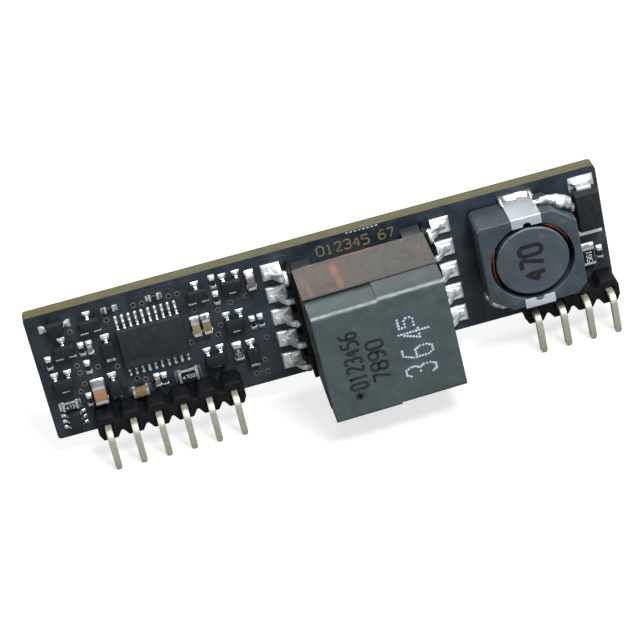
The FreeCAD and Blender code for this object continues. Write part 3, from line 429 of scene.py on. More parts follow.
def strip(path, thick, width, axes=(0, 1, 2), middle=0.0):
    """Flat strip along a path in the plane of the first two axes, drawn out along the third."""
    path = [Vector(p) for p in path]
    n = len(path)
    one, two = [], []
    for i, p in enumerate(path):
        d = (path[min(i + 1, n - 1)] - path[max(i - 1, 0)]).normalized()
        side = Vector((-d.y, d.x)) * thick / 2
        one.append(p + side)
        two.append(p - side)
    verts = []
    for z in (middle - width / 2, middle + width / 2):
        for p in one + two:
            v = [0, 0, 0]
            v[axes[0]], v[axes[1]], v[axes[2]] = p.x, p.y, z
            verts.append(tuple(v))
    m = 2 * n
    faces = [(0, m, m + n, n), (n - 1, 2 * n - 1, m + 2 * n - 1, m + n - 1)]
    for i in range(n - 1):
        faces += [(i, i + 1, m + i + 1, m + i), (n + i, m + n + i, m + n + i + 1, n + i + 1),
                  (i, n + i, n + i + 1, i + 1), (m + i, m + i + 1, m + n + i + 1, m + n + i)]
    return verts, faces


def skin(rings, sides, around=False):
    """Faces over rings of points. The last ring joins the first, or both ends have caps."""
    faces = []
    for i in range(rings if around else rings - 1):
        here, there = i * sides, (i + 1) % rings * sides
        pairs = [(k, (k + 1) % sides) for k in range(sides)]
        faces += [(here + k, here + m, there + m, there + k) for k, m in pairs]
    if not around:
        last = (rings - 1) * sides
        faces += [tuple(range(sides)), tuple(last + k for k in range(sides))]
    return faces


def turned(levels, sides, around=False):
    """Round solid about the axis that points out of the board. Each level is (radius, out)."""
    angles = [2 * math.pi * k / sides for k in range(sides)]
    verts = [(r * math.cos(a), out, r * math.sin(a)) for r, out in levels for a in angles]
    return verts, skin(len(levels), sides, around)


def tube(points, radius, sides=8):
    """Round bar along a 3D path. radius is one number, or one for each point."""
    points = [Vector(p) for p in points]
    radii = radius if isinstance(radius, (list, tuple)) else [radius] * len(points)
    verts, side = [], None
    for i, p in enumerate(points):
        d = (points[min(i + 1, len(points) - 1)] - points[max(i - 1, 0)]).normalized()
        if side is None:
            side = d.orthogonal().normalized()
        side = (side - d * side.dot(d)).normalized()
        other = d.cross(side)
        for k in range(sides):
            a = 2 * math.pi * k / sides
            verts.append(tuple(p + (side * math.cos(a) + other * math.sin(a)) * radii[i]))
    return verts, skin(len(points), sides)


def mound(x0, x1, z0, z1, height, nx, nz, corner, narrow=1.0):
    """Closed mound on a pad. height(x, z) is in millimetres, narrow the width left at its start."""
    cx, cz, ax, az = (x0 + x1) / 2, (z0 + z1) / 2, (x1 - x0) / 2, (z1 - z0) / 2
    verts = []
    for i in range(nx + 1):
        for j in range(nz + 1):
            u, v = 2 * i / nx - 1, 2 * j / nz - 1
            x = cx + ax * u * math.sqrt(1 - corner * v * v / 2)
            wide = narrow + (1 - narrow) * min(1, (u + 1) * 0.8)
            z = cz + az * v * math.sqrt(1 - corner * u * u / 2) * wide
            verts.append((x, max(height(x, z), 0.012), z))
    row = nz + 1
    faces = [(i * row + j, (i + 1) * row + j, (i + 1) * row + j + 1, i * row + j + 1)
             for i in range(nx) for j in range(nz)]
    rim = list(range(row)) + [i * row + nz for i in range(1, nx + 1)]
    rim += [nx * row + j for j in range(nz - 1, -1, -1)] + [i * row for i in range(nx - 1, 0, -1)]
    base = len(verts)
    for k in rim:
        verts.append((verts[k][0], 0.0, verts[k][2]))
    for k in range(len(rim)):
        m = (k + 1) % len(rim)
        faces.append((rim[k], rim[m], base + m, base + k))
    faces.append(tuple(base + k for k in range(len(rim))))
    return verts, faces


def wobble(x, z, scale=1.0, seed=0.0):
    return noise.noise(Vector((x * scale, z * scale, seed)))


def flat_digits(piece, text, at, size, width, out, deep, look, gap=1.35, squeeze=1.0):
    """Plain digits as raised strokes. at maps (across, up) to the part's own place."""
    across = 0.0
    for mark in text:
        for step, line in enumerate(DIGITS[mark] if mark in DIGITS else []):
            path = [(across + x * squeeze * size / 6, y * size / 6) for x, y in line]
            path = bend(path, size * 0.09, 2) if len(path) > 2 else path
            # Each stroke lies a little higher than the last, so that no two share a face
            middle = out + deep / 2 + 0.0015 * step
            piece.add(strip(path, width, deep, (0, 2, 1), middle), at, look=look)
        across += size * 0.667 * gap * squeeze


# Strokes of each digit, in a field 4 wide and 6 tall
DIGITS = {
    "0": [[(0, 1), (0, 5), (1, 6), (3, 6), (4, 5), (4, 1), (3, 0), (1, 0), (0, 1.05)]],
    "1": [[(0.8, 5), (2, 6), (2, 0)], [(0.8, 0), (3.2, 0)]],
    "2": [[(0, 5), (1, 6), (3, 6), (4, 5), (4, 4), (0, 0), (4, 0)]],
    "3": [[(0, 5.2), (1, 6), (3, 6), (4, 5), (4, 4), (3, 3.2), (1.4, 3.2)],
          [(3, 3.2), (4, 2.4), (4, 1), (3, 0), (1, 0), (0, 0.8)]],
    "4": [[(3, 0), (3, 6), (0, 2)], [(0, 2), (4, 2)]],
    "5": [[(4, 6), (0, 6), (0, 3.5), (3, 3.5), (4, 2.6), (4, 1), (3, 0), (0, 0)]],
    "6": [[(3.6, 6), (1.6, 6), (0, 4), (0, 1), (1, 0), (3, 0), (4, 1), (4, 2.4), (3, 3.4), (0.1, 3.3)]],
    "7": [[(0, 6), (4, 6), (1.6, 0)]],
    "8": [[(1, 3.2), (0, 4), (0, 5), (1, 6), (3, 6), (4, 5), (4, 4), (3, 3.2),
           (1, 3.2), (0, 2.3), (0, 1), (1, 0), (3, 0), (4, 1), (4, 2.3), (3, 3.15)]],
    "9": [[(3.9, 2.8), (1, 2.7), (0, 3.7), (0, 5), (1, 6), (3, 6), (4, 5), (4, 2), (2.4, 0), (0.5, 0)]],
}

# Circuit board, with through holes, raised copper under the mask and an edge of bare laminate
# All places are (along, up) on the board
PITCH, LAST_PIN = 2.54, 1.12
PINS = [PITCH * (2 + i) for i in range(6)] + [LENGTH - LAST_PIN - PITCH * i for i in range(4)]
PIN_UP, PIN_HOLE, VIA_HOLE = 1.27, 0.52, 0.16
VIAS = [
    (7.7, 11.55), (4.05, 11.3), (3.75, 7.5), (3.85, 6.65), (5.7, 6.8), (7.5, 6.25), (3.95, 5.3),
    (3.45, 4.6), (10.55, 12.35), (11.4, 12.3), (14.05, 12.3), (14.9, 12.3), (16.1, 10.1),
    (18.3, 9.4), (18.2, 7.7), (17.75, 6.75), (15.05, 6.65), (9.0, 4.35), (9.8, 4.0),
    (19.7, 9.85), (21.3, 10.1), (22.25, 5.0), (21.5, 2.55), (21.55, 1.2), (20.45, 1.3),
]
TRACES = [
    (0.25, [(9.3, 13.45), (15.2, 13.5)]), (0.16, [(10.4, 13.05), (13.6, 13.05), (14.0, 12.6)]),
    (0.2, [(4.05, 11.3), (5.2, 10.6), (5.2, 9.9)]), (0.2, [(3.75, 7.5), (3.2, 8.1), (3.2, 8.7)]),
    (0.2, [(3.85, 6.65), (4.6, 6.65), (4.75, 6.6)]), (0.24, [(5.7, 6.8), (6.4, 6.8), (7.1, 7.3)]),
    (0.2, [(7.5, 6.25), (8.2, 5.6), (8.2, 5.1)]), (0.3, [(3.95, 5.3), (3.95, 4.9), (3.45, 4.6)]),
    (0.2, [(14.9, 12.3), (15.6, 11.6), (15.6, 10.6), (16.1, 10.1)]),
    (0.2, [(18.3, 9.4), (18.3, 8.5), (18.2, 7.7)]), (0.22, [(17.75, 6.75), (17.2, 6.2), (16.2, 6.2)]),
    (0.2, [(15.05, 6.65), (15.6, 6.65), (15.85, 7.0)]), (0.3, [(19.7, 9.85), (20.5, 9.85), (21.3, 10.1)]),
    (0.3, [(22.25, 5.0), (22.6, 5.6), (22.6, 9.0)]), (0.3, [(21.5, 2.55), (20.6, 2.55), (20.57, 2.9)]),
    (0.3, [(21.55, 1.2), (20.45, 1.3)]), (0.18, [(0.9, 10.9), (0.9, 9.2)]),
    (0.18, [(8.1, 9.9), (7.6, 9.9), (7.1, 9.6)]), (0.2, [(23.0, 13.4), (24.6, 13.4), (26.0, 13.2)]),
    (0.35, [(15.1, 5.3), (19.2, 6.0), (20.4, 6.0)]),
]
POURS = [
    [(39.6, 1.3), (42.6, 1.3), (43.0, 1.7), (43.0, 12.6), (42.6, 13.0), (41.4, 13.0), (41.0, 12.6),
     (41.0, 3.2), (39.4, 2.4)],
    [(0.7, 12.9), (8.6, 12.9), (8.9, 13.2), (8.9, 13.5), (0.9, 13.5), (0.6, 13.2)],
    [(52.9, 13.3), (53.2, 13.5), (56.2, 13.5), (56.4, 13.2), (56.4, 12.2), (53.0, 12.2)],
]


def board_solid():
    """The board with its corners rubbed down in small cuts, and with holes for the pins and the vias."""
    corner, top = 0.32, 0.42
    outline = [(corner, 0.0), (LENGTH - corner, 0.0), (LENGTH - 0.09, 0.09), (LENGTH, corner),
               (LENGTH, HEIGHT - top), (LENGTH - 0.1, HEIGHT - 0.12), (LENGTH - 0.4, HEIGHT), (0.3, HEIGHT),
               (0.16, HEIGHT - 0.05), (0.04, HEIGHT - 0.3), (0.0, HEIGHT - top), (0.0, corner),
               (0.09, 0.09)]
    points = [Vector(p) for p in outline]
    loops = [list(range(len(points)))]
    holes = [((x, PIN_UP), PIN_HOLE, 20) for x in PINS] + [(v, VIA_HOLE, 16) for v in VIAS]
    for (x, z), radius, count in holes:
        start = len(points)
        angles = [2 * math.pi * k / count for k in range(count)]
        points += [Vector((x + radius * math.cos(a), z + radius * math.sin(a))) for a in angles]
        loops.append(list(range(start, start + count)))
    edges = [(loop[k], loop[(k + 1) % len(loop)]) for loop in loops for k in range(len(loop))]
    found = geometry.delaunay_2d_cdt(points, edges, [], 0, 1e-6)
    where, triangles, origin = found[0], found[2], found[3]
    index = {o: i for i, os in enumerate(origin) for o in os}
    count = len(where)
    keep = []
    for triangle in triangles:
        middle = sum((where[i] for i in triangle), Vector((0, 0))) / 3
        if not any((middle - Vector(c)).length < r * 0.985 for c, r, n in holes):
            keep.append(tuple(triangle))
    verts = [(p.x, 0.0, p.y) for p in where] + [(p.x, -THICK, p.y) for p in where]
    faces = keep + [tuple(i + count for i in reversed(t)) for t in keep]
    for loop in loops:
        for k in range(len(loop)):
            a, b = index[loop[k]], index[loop[(k + 1) % len(loop)]]
            faces.append((a, b, b + count, a + count))
    return verts, faces


ON_BOARD = spot((0, 0))
board = Piece("board_laminate", "board", ["board", "laminate"], "circuit_board")
board.add(board_solid(), ON_BOARD, edge_look=1)
for width, path in TRACES:
    path = bend(path, 0.5, 3) if len(path) > 2 else path
    board.add(strip(path, width, 0.03, (0, 2, 1), 0.005), ON_BOARD, bevel=0.012, segments=1)
for outline in POURS:
    board.add(([(x, o, z) for o in (-0.01, 0.02) for x, z in outline], skin(2, len(outline))), ON_BOARD)
board.done(20)

rings = Piece("via_rings", "pin_plating", ["ring", "hole"])
for place in VIAS:
    for front in (True, False):
        profile = [(0.15, -0.02), (0.165, 0.03), (0.28, 0.034), (0.32, 0.002)]
        profile = profile if front else [(r, -THICK - o) for r, o in profile]
        rings.add(turned(profile, 18, around=True), spot(place))
    # The lining of each via hole takes the nearly black look, a painted shade
    rings.add(turned([(0.158, -0.12), (0.158, -THICK + 0.12)], 12), spot(place), look=1)
rings.done()

# Headers and their pins
for side in ("left", "right"):
    plain("header_moulding_" + side, "header_plastic", "header", "header_body_" + side, 0.07)
    row = "header_pins_" + side
    Piece("header_pin_row_" + side, "pin_plating", ["pin"], row).take(row, 0.035).done(40)
joints = Piece("pin_solder_cones", "solder", ["solder"], "header_pin_joints")
cone = [(0.84, 0.0), (0.8, 0.03), (0.66, 0.09), (0.54, 0.18),
        (0.47, 0.32), (0.42, 0.5), (0.36, 0.62), (0.2, 0.66)]
for x in PINS:
    joints.add(turned([(r, -THICK - o) for r, o in cone], 20), spot((x, PIN_UP)))
joints.done(50)

# Small parts. Sizes of chips are (length, width, height, length of an end cap)
SEAT = 0.05
SMALL, SMALL_C = (1.0, 0.5, 0.35, 0.22), (1.0, 0.5, 0.5, 0.24)
MIDDLE, MIDDLE_C = (1.6, 0.8, 0.45, 0.26), (1.6, 0.8, 0.8, 0.3)
LARGE, LARGE_C = (2.0, 1.25, 0.5, 0.3), (2.0, 1.25, 1.2, 0.38)
UPRIGHT = [(4.65, 9.2), (4.75, 7.1), (1.25, 8.6), (18.45, 12.62), (18.45, 10.78), (21.3, 7.05), (22.1, 7.05),
           (4.05, 3.5), (11.6, 3.52), (LENGTH - 0.95, 4.45)]
RESISTORS = [(place, 90) for place in UPRIGHT] + [((8.25, 12.7), 0), ((12.65, 12.7), 0)]
MARKED = [(MIDDLE, (2.05, 3.5), 0, "473"), (MIDDLE, (19.2, 4.35), 90, "154"),
          (LARGE, (13.93, 3.35), 0, "4703"), (LARGE, (LENGTH - 2.13, 4.5), 90, "561")]
CAPACITORS = [(SMALL_C, (5.45, 9.15), 90, 4), (SMALL_C, (10.9, 3.6), 90, 2), (MIDDLE_C, (15.85, 8.35), 90, 1),
              (MIDDLE_C, (16.9, 8.35), 90, 2), (MIDDLE_C, (22.05, 11.75), 90, 4), (MIDDLE_C, (9.05, 3.1), 0, 3),
              (LARGE_C, (5.18, 4.26), 90, 0)]


def chip_joints(piece, size, at, seed):
    length, width, height, cap = size
    end, side = length / 2, width / 2 + 0.06
    for sign in (1, -1):
        def high(x, z):
            beyond = abs(x) - end
            if beyond < 0:
                return SEAT
            t = min(beyond / 0.3, 1)
            edge = max(0.0, 1 - (abs(z) / side) ** 4)
            climb = (SEAT + height * 0.62) * (1 - t) ** 1.7 * (0.35 + 0.65 * edge)
            return 0.03 + climb + 0.02 * wobble(x + seed, z, 4)
        lo, hi = sorted((sign * (end - cap), sign * (end + 0.3)))
        piece.add(mound(lo, hi, -side, side, high, 12, 6, 0.2), at)


def chip_part(piece, size, at, low, high, ends=None, inset=0.0, bevel=0.0, segments=1, look=0):
    """The middle of a chip between two heights, or both of its end caps."""
    length, width, height, cap = size
    side = width / 2 - inset
    caps = [sorted((k * (length / 2 - cap), k * length / 2)) for k in (1, -1)]
    spans = [(-ends, ends)] if ends else caps
    for lo, hi in spans:
        middle = block(lo, hi, SEAT + low, SEAT + height + high, -side, side)
        piece.add(middle, at, bevel=bevel, segments=segments, look=look)


def chip_ends(piece, size, at):
    chip_part(piece, size, at, 0, 0, bevel=min(0.06, size[2] * 0.14), segments=2)


bodies = Piece("chip_resistor_tops", "resistor_body", ["alumina", "glaze"], "chip_resistor_bodies")
ends = Piece("chip_resistor_ends", "tinned_metal", ["cap"], "chip_resistor_caps")
pads = Piece("chip_resistor_fillets", "solder", ["solder"], "chip_resistor_solder")
layers = ["pale_alumina", "glaze", "ink"]
marked = Piece("marked_resistor_tops", "resistor_body", layers, "marked_resistor_bodies")
marked_ends = Piece("marked_resistor_ends", "tinned_metal", ["cap"], "marked_resistor_caps")
marked_pads = Piece("marked_resistor_fillets", "solder", ["solder"], "marked_resistor_solder")


def resistor(body, cap, pad, size, place, degrees, text=""):
    at = spot(place, degrees)
    length, width, height, end = size
    inside = length / 2 - end + 0.01
    chip_part(body, size, at, 0.02, -0.05, inside, 0.02, 0.012)
    chip_part(body, size, at, height - 0.06, -0.02, inside, 0.05, 0.015, look=1)
    chip_ends(cap, size, at)
    chip_joints(pad, size, at, place[0])
    if text:
        run = 0.667 * (1.3 * (len(text) - 1) + 1)
        tall = min(width * 0.44, 1.7 * inside / run)
        shift = Matrix.Translation((-run * tall / 2, 0, -tall / 2))
        flat_digits(body, text, at @ shift, tall, tall * 0.14, SEAT + height - 0.022, 0.012, 2, 1.3)


for place, degrees in RESISTORS:
    resistor(bodies, ends, pads, SMALL, place, degrees)
for size, place, degrees, text in MARKED:
    resistor(marked, marked_ends, marked_pads, size, place, degrees, text)
for piece in (bodies, ends, pads, marked, marked_ends, marked_pads):
    piece.done()
ceramics = ["orange", "olive", "tan", "brown", "grey"]
capacitors = Piece("capacitor_blocks", "capacitor_body", ceramics, "ceramic_capacitor_bodies")
capacitor_ends = Piece("capacitor_ends", "tinned_metal", ["cap"], "ceramic_capacitor_caps")
capacitor_pads = Piece("capacitor_fillets", "solder", ["solder"], "ceramic_capacitor_solder")
for size, place, degrees, look in CAPACITORS:
    at = spot(place, degrees)
    chip_part(capacitors, size, at, 0.02, -0.02, size[0] / 2 - size[3] + 0.02, 0.02, 0.04, 2, look)
    chip_ends(capacitor_ends, size, at)
    chip_joints(capacitor_pads, size, at, place[0])
for piece in (capacitors, capacitor_ends, capacitor_pads):
    piece.done()


def gull(piece, at, inner, outer, foot, middle, thick, width):
    heel = outer - foot
    knee = inner + (heel - inner) * 0.5
    seat = SEAT + thick / 2
    path = bend([(inner, middle), (knee, middle), (heel, seat), (outer, seat)], thick * 1.1, 4)
    piece.add(strip(path, thick, width), at, bevel=thick * 0.16, segments=1, sharp=40)


def lead_pad(piece, at, x0, x1, width, lead, foot0, foot1, rise, seed):
    def high(x, z):
        side = max(abs(z) - lead / 2, 0) / max(width / 2 - lead / 2, 0.02)
        toe = max(x - foot1, 0) / max(x1 - foot1, 0.02)
        heel = max(foot0 - x, 0) / max(foot0 - x0, 0.02)
        away = min(1.0, math.sqrt(side ** 2 + toe ** 2 + heel ** 2))
        rim = max(0.0, min(1.0, (x1 - x) / 0.06))
        rough = 0.015 * wobble(x + seed, z + seed, 3)
        return 0.02 + 0.05 * math.sqrt(rim) + rise * (1 - away) ** 1.4 + rough
    piece.add(mound(x0, x1, -width / 2, width / 2, high, 14, 8, 0.06, narrow=0.6), at)


def bead(piece, at, middle, half, wide, tall):
    """A rounded blob of solder on a narrow lead."""
    def high(x, z):
        away = min(1.0, ((x - middle) / half) ** 2 + (z / wide) ** 2)
        return 0.03 + tall * math.sqrt(1 - away)
    piece.add(mound(middle - half, middle + half, -wide, wide, high, 10, 8, 0.7), at)


def package(prefix, node, body, look, bevel, spots, up, down, shape, pad):
    """Bodies with leads on two sides. up and down list the leads of each side, counted from the middle."""
    half_width, half_span, lead_width, thick, middle = shape
    pad_width, pad_in, pad_out = pad
    plain(prefix + "_moulding", "package", look, body, bevel)
    leads = Piece(prefix + "_formed_leads", "tinned_metal", ["tinned"], node + "_leads")
    lands = Piece(prefix + "_fillets", "solder", ["solder"], node + "_solder")
    for place, degrees in spots:
        for columns, turn in ((up, 90), (down, -90)):
            for column in columns:
                aside = Matrix.Translation((column * LEAD_PITCH, 0, 0))
                at = spot(place, degrees) @ aside @ Matrix.Rotation(math.radians(-turn), 4, (0, 1, 0))
                foot = half_span - half_width - 0.13
                gull(leads, at, half_width - 0.09, half_span, foot, middle, thick, lead_width)
                if prefix == "controller":
                    bead(lands, at, 3.27, 0.24, 0.19, 0.2)
                    bead(lands, at, 2.74, 0.19, 0.18, 0.24)
                    continue
                short = 0.11 if at.col[0].z < -0.5 else 0
                lead_pad(lands, at, pad_in, half_span + pad_out - short, pad_width, lead_width,
                         half_width + 0.15, half_span, 0.09, place[0] + column)
    leads.done(45)
    lands.done(60)


LEAD_PITCH = 0.65
THREE = [((6.0, 11.8), 0), ((3.0, 9.75), 0), ((16.75, 11.85), 0), ((2.05, 6.1), 180), ((20.15, 11.9), 180),
         ((19.62, 7.65), 180), ((16.93, 4.35), 180)]
package("transistor", "transistor", "transistor_bodies", "small_package", 0.05, THREE, (0,), (-1, 1),
        (0.625, 1.05, 0.3, 0.15, 0.45), (0.76, 0.725, 0.25))
package("six_lead", "dual_transistor", "dual_transistor_body", "small_package", 0.05, [((2.15, 1.85), 90)],
        (-1, 0, 1), (-1, 0, 1), (0.625, 1.05, 0.24, 0.15, 0.45), (0.38, 0.725, 0.21))
rows = [i - 4.5 for i in range(10)]
package("controller", "controller", "controller_body", "package", 0.07, [((11.47, 8.28), 0)],
        rows, rows, (2.2, 3.2, 0.24, 0.13, 0.5), (0.36, 2.65, 0.3))
diode_spots = [((7.1, 8.55), 90), ((6.75, 4.25), 90), ((20.57, 3.72), 90), ((2.77, 12.43), 0)]
plain("small_diode_mouldings", "package", "small_package", "small_diode_bodies", 0.05)
leads = Piece("small_diode_formed_leads", "tinned_metal", ["tinned"], "small_diode_leads")
lands = Piece("small_diode_fillets", "solder", ["solder"], "small_diode_solder")
for place, degrees in diode_spots:
    for turn in (0, 180):
        at = spot(place, degrees) @ Matrix.Rotation(math.radians(-turn), 4, (0, 1, 0))
        gull(leads, at, 0.76, 1.25, 0.28, 0.45, 0.14, 0.32)
        lead_pad(lands, at, 0.85, 1.58, 0.86, 0.32, 0.95, 1.25, 0.1, place[0])
leads.done(45)
lands.done(60)

# Transformer. It stands turned a little against the board, but its pads do not
MID, MID_UP, LEAN = 32.625, 6.95, 1.2
tilt = spot((MID, MID_UP), LEAN)
level = spot((MID, MID_UP))
untilt = tilt.inverted()


def on_seam(point):
    """Whether a point lies where the two core halves meet."""
    return abs((untilt @ point).x) < 0.01


for side in ("left", "right"):
    node = "transformer_core_" + side
    half = Piece("ferrite_half_" + side, "ferrite", ["ferrite"], node)
    half.take(node, 0.06, 3, 40, spare=on_seam, sink=0.01).done()
plain("bobbin_moulding", "bobbin_plastic", "bobbin", "transformer_bobbin", 0.05, 2, 40)
coil = Piece("bobbin_windings", "copper", ["copper"], "transformer_winding")
helix, steps = [], 15 * 24
for k in range(steps + 1):
    a = 2 * math.pi * k / 24
    helix.append((-3.75 + 7.5 * k / steps, 5.75 + 4.02 * math.cos(a), 4.02 * math.sin(a)))
coil.add(tube(helix, 0.12, 6), tilt)
coil.done(60)


def band_solid():
    """Tape round the core, with uneven edges."""
    half, up, n = 6.45, 6.08, 26
    corners = [(-half, up), (half, up), (half, -up), (-half, -up)]
    outward = [(0, 1), (1, 0), (0, -1), (-1, 0)]
    loop = []
    for side in range(4):
        (x0, z0), (x1, z1) = corners[side], corners[(side + 1) % 4]
        loop += [(x0 + (x1 - x0) * i / n, z0 + (z1 - z0) * i / n, *outward[side]) for i in range(n)]
    verts = []
    for k, (x, z, nx, nz) in enumerate(loop):
        if k % n == 0:
            nx, nz = nx + loop[k - 1][2], nz + loop[k - 1][3]
        rear = 2.56 + 0.1 * wobble(k * 0.41, 0.3, 1, 3) + 0.05 * wobble(k * 1.3, 0.9, 1, 5)
        front = 8.8 + 0.09 * wobble(k * 0.9, 0.7, 1, 9)
        swell = 0.08 + 0.008 * wobble(k * 0.3, 0.2, 1, 1)
        for o, lift in ((rear, 0.0), (rear, 0.07), (rear + 0.25, 0.085), ((rear + front) / 2, swell),
                        (front - 0.1, 0.075), (front, 0.06), (front, 0.0)):
            verts.append((x + nx * lift, o, z + nz * lift))
    return verts, skin(len(loop), 7, around=True)


tape = Piece("tape_wrap", "tape", ["tape"], "transformer_tape")
tape.add(band_solid(), tilt)
tape.done(60)
formed = Piece("transformer_formed_leads", "tinned_metal", ["broad_lead"], "transformer_leads")
wraps = Piece("wire_turns", "tinned_metal", ["broad_lead", "bronze"], "transformer_wire_wraps")
lands = Piece("transformer_fillets", "solder", ["pad_solder"], "transformer_solder")
# Along the board from its middle, apart from LEAD_OUT, which points out of the board
LEAD_OUT, KNEE, LEAD_END, PAD_START, PAD_END, PAD_HALF = 1.95, 8.46, 9.125, 7.5, 9.42, 0.88
for i in range(5):
    row = (i - 2) * PITCH
    for flip in (BACKWARD, HERE):
        path = bend([(6.54, LEAD_OUT), (7.58, LEAD_OUT), (KNEE, 0.28), (LEAD_END, 0.26)], 0.55, 5)
        formed.add(strip(path, 0.5, 0.6, middle=row), tilt @ flip, bevel=0.08, sharp=40)
        # Four turns of wire round each lead: thick at the top row, thin at every second one
        radius = 0.7 if i == 4 else 0.42 if i % 2 == 0 else 0.36
        thick = 0.13 if i == 4 else 0.1 if i % 2 == 0 else 0.045
        helix, steps = [], 4 * 14
        for k in range(steps + 1):
            a = 2 * math.pi * k / 14
            r = radius + 0.03 * wobble(k * 0.3, row, 1, 4)
            along = 7.0 + thick * 0.9 + (0.46 - 2 * thick) * k / steps
            helix.append((along, LEAD_OUT + r * math.cos(a), row + r * math.sin(a)))
        burnt = i == 0 and flip is BACKWARD
        look = 1 if burnt else 0
        wraps.add(tube(helix, thick, 7), tilt @ flip, look=look)
        for k in range(5 if i == 4 or burnt else 0):
            reach = 7.5 + 0.2 * k
            strand = [(6.9 + 0.12 * k, 2.15, row + 0.75), (reach, 2.2 - 0.12 * k, row + 0.62),
                      (reach + 0.22, 1.75 - 0.22 * k, row + 0.1),
                      (reach + 0.12, 1.0 - 0.1 * k, row - 0.8 + 0.16 * k)]
            wraps.add(tube(bend(strand, 0.5, 4), 0.075, 7), tilt @ flip, look=look)

        def high(x, z, row=row):
            side = min(max(abs(z - row) - 0.28, 0) / 0.48, 1)
            rim = min(1, (PAD_END - x) / 0.25, (PAD_HALF + 0.02 - abs(z - row)) / 0.16)
            film = 0.05 + 0.24 * math.sqrt(max(rim, 0))
            if x < 8.6:
                climb = 0.8 * min(1.6, max(0.0, 0.28 + (KNEE - x) * 1.9))
            else:
                climb = 0.45 * max(0, 1 - (x - 8.6) / 0.6)
            rough = 0.05 * wobble(x, z, 1.3, row) + 0.012 * wobble(x, z, 4, row)
            return max(film, 0.05 + climb * (1 - side) ** 1.6) + rough
        sheet = mound(PAD_START, PAD_END, row - PAD_HALF, row + PAD_HALF, high, 24, 20, 0.06)
        lands.add(sheet, level @ flip)
formed.done(50)
wraps.done(60)
lands.done(60)

marks = Piece("core_print", "ferrite", ["dark_print", "print"])
CORE_FRONT = 11.99


def upright(x, z):
    """Turns writing so that it reads upward, with its start at (x, z) on the board."""
    return spot((x, z), 90 + LEAN)


flat_digits(marks, "0123456", upright(29.95, 4.0), 1.6, 0.29, CORE_FRONT - 0.006, 0.012, 0, 1.5, 0.58)
flat_digits(marks, "7890", upright(32.2, 4.3), 1.55, 0.3, CORE_FRONT - 0.006, 0.012, 0, 1.45, 0.8)
for k in range(4):
    across, up = 0.45 * math.cos(math.pi * k / 4), 0.45 * math.sin(math.pi * k / 4)
    line = [(28.97 - across, 3.2 - up), (28.97 + across, 3.2 + up)]
    marks.add(strip(line, 0.17, 0.012, (0, 2, 1), CORE_FRONT + 0.002), ON_BOARD)


def dotted(piece, mark, at, wide, tall, gap, radius, out, look):
    """A digit as a row of printed dots along its strokes."""
    done = []
    for line in DIGITS[mark]:
        for (x0, y0), (x1, y1) in zip(line, line[1:]):
            a, b = Vector((x0 * wide / 4, y0 * tall / 6)), Vector((x1 * wide / 4, y1 * tall / 6))
            count = max(1, round((b - a).length / gap))
            for k in range(count + 1):
                p = a.lerp(b, k / count)
                if any((p - q).length < gap * 0.6 for q in done):
                    continue
                done.append(p)
                r = radius * random.uniform(0.85, 1.1)
                disc = turned([(r, out - 0.004), (r, out + 0.005)], 8)
                piece.add(disc, at @ Matrix.Translation((p.x, 0, p.y)), look=look)


for mark, across, up, wide, tall in (("3", 36.65, 3.85, 1.0, 2.9), ("6", 36.65, 5.8, 1.1, 2.9),
                                     ("4", 36.65, 7.85, 1.0, 2.9), ("5", 35.35, 9.25, 0.95, 1.45)):
    dotted(marks, mark, upright(across, up), wide, tall, 0.3, 0.135, CORE_FRONT, 1)
marks.done(60)

# Inductor
IND, IND_UP = 48.7, 8.02
here = spot((IND, IND_UP))
around = spot((IND, IND_UP), 180)
plain("inductor_frame", "inductor_ferrite", "dark_ferrite", "inductor_ring", 0.09, 3, 40)
plain("inductor_core", "inductor_ferrite", "drum", "inductor_drum")
plain("inductor_foot", "bobbin_plastic", "bobbin", "inductor_base", 0.03)
for side in ("upper", "lower"):
    plain("inductor_strap_" + side, "tinned_metal", "clip", "inductor_clip_" + side, 0.025, 2, 40)
coil = Piece("inductor_wire", "copper", ["copper"], "inductor_coil")
for layer in range(7):
    turn = []
    for k in range(49):
        a = 2 * math.pi * k / 48
        turn.append((3.12 * math.cos(a), 1.48 + 0.33 * (layer + k / 48), 3.12 * math.sin(a)))
    coil.add(tube(turn, 0.16), here)
for start, stop, radius, depth in ((150, 212, 3.93, 4.36), (158, 205, 3.83, 4.22),
                                   (8, 74, 3.9, 4.3), (18, 62, 3.98, 4.4)):
    arc = []
    for k in range(25):
        a = math.radians(start + (stop - start) * k / 24)
        dip = 0.5 * (abs(k - 12) / 12) ** 3
        arc.append((radius * math.cos(a), depth - dip, radius * math.sin(a)))
    coil.add(tube(arc, 0.055, 6), here)
coil.done(60)
value = Piece("drum_digits", "inductor_ferrite", ["drum_print"])
flat_digits(value, "470", spot((IND + 1.0, IND_UP - 2.1), 90), 2.2, 0.44, 4.446, 0.012, 0, 1.36, 0.7)
value.done()
blob = Piece("wire_end_blobs", "tinned_metal", ["burnt"], "inductor_wire_ends")
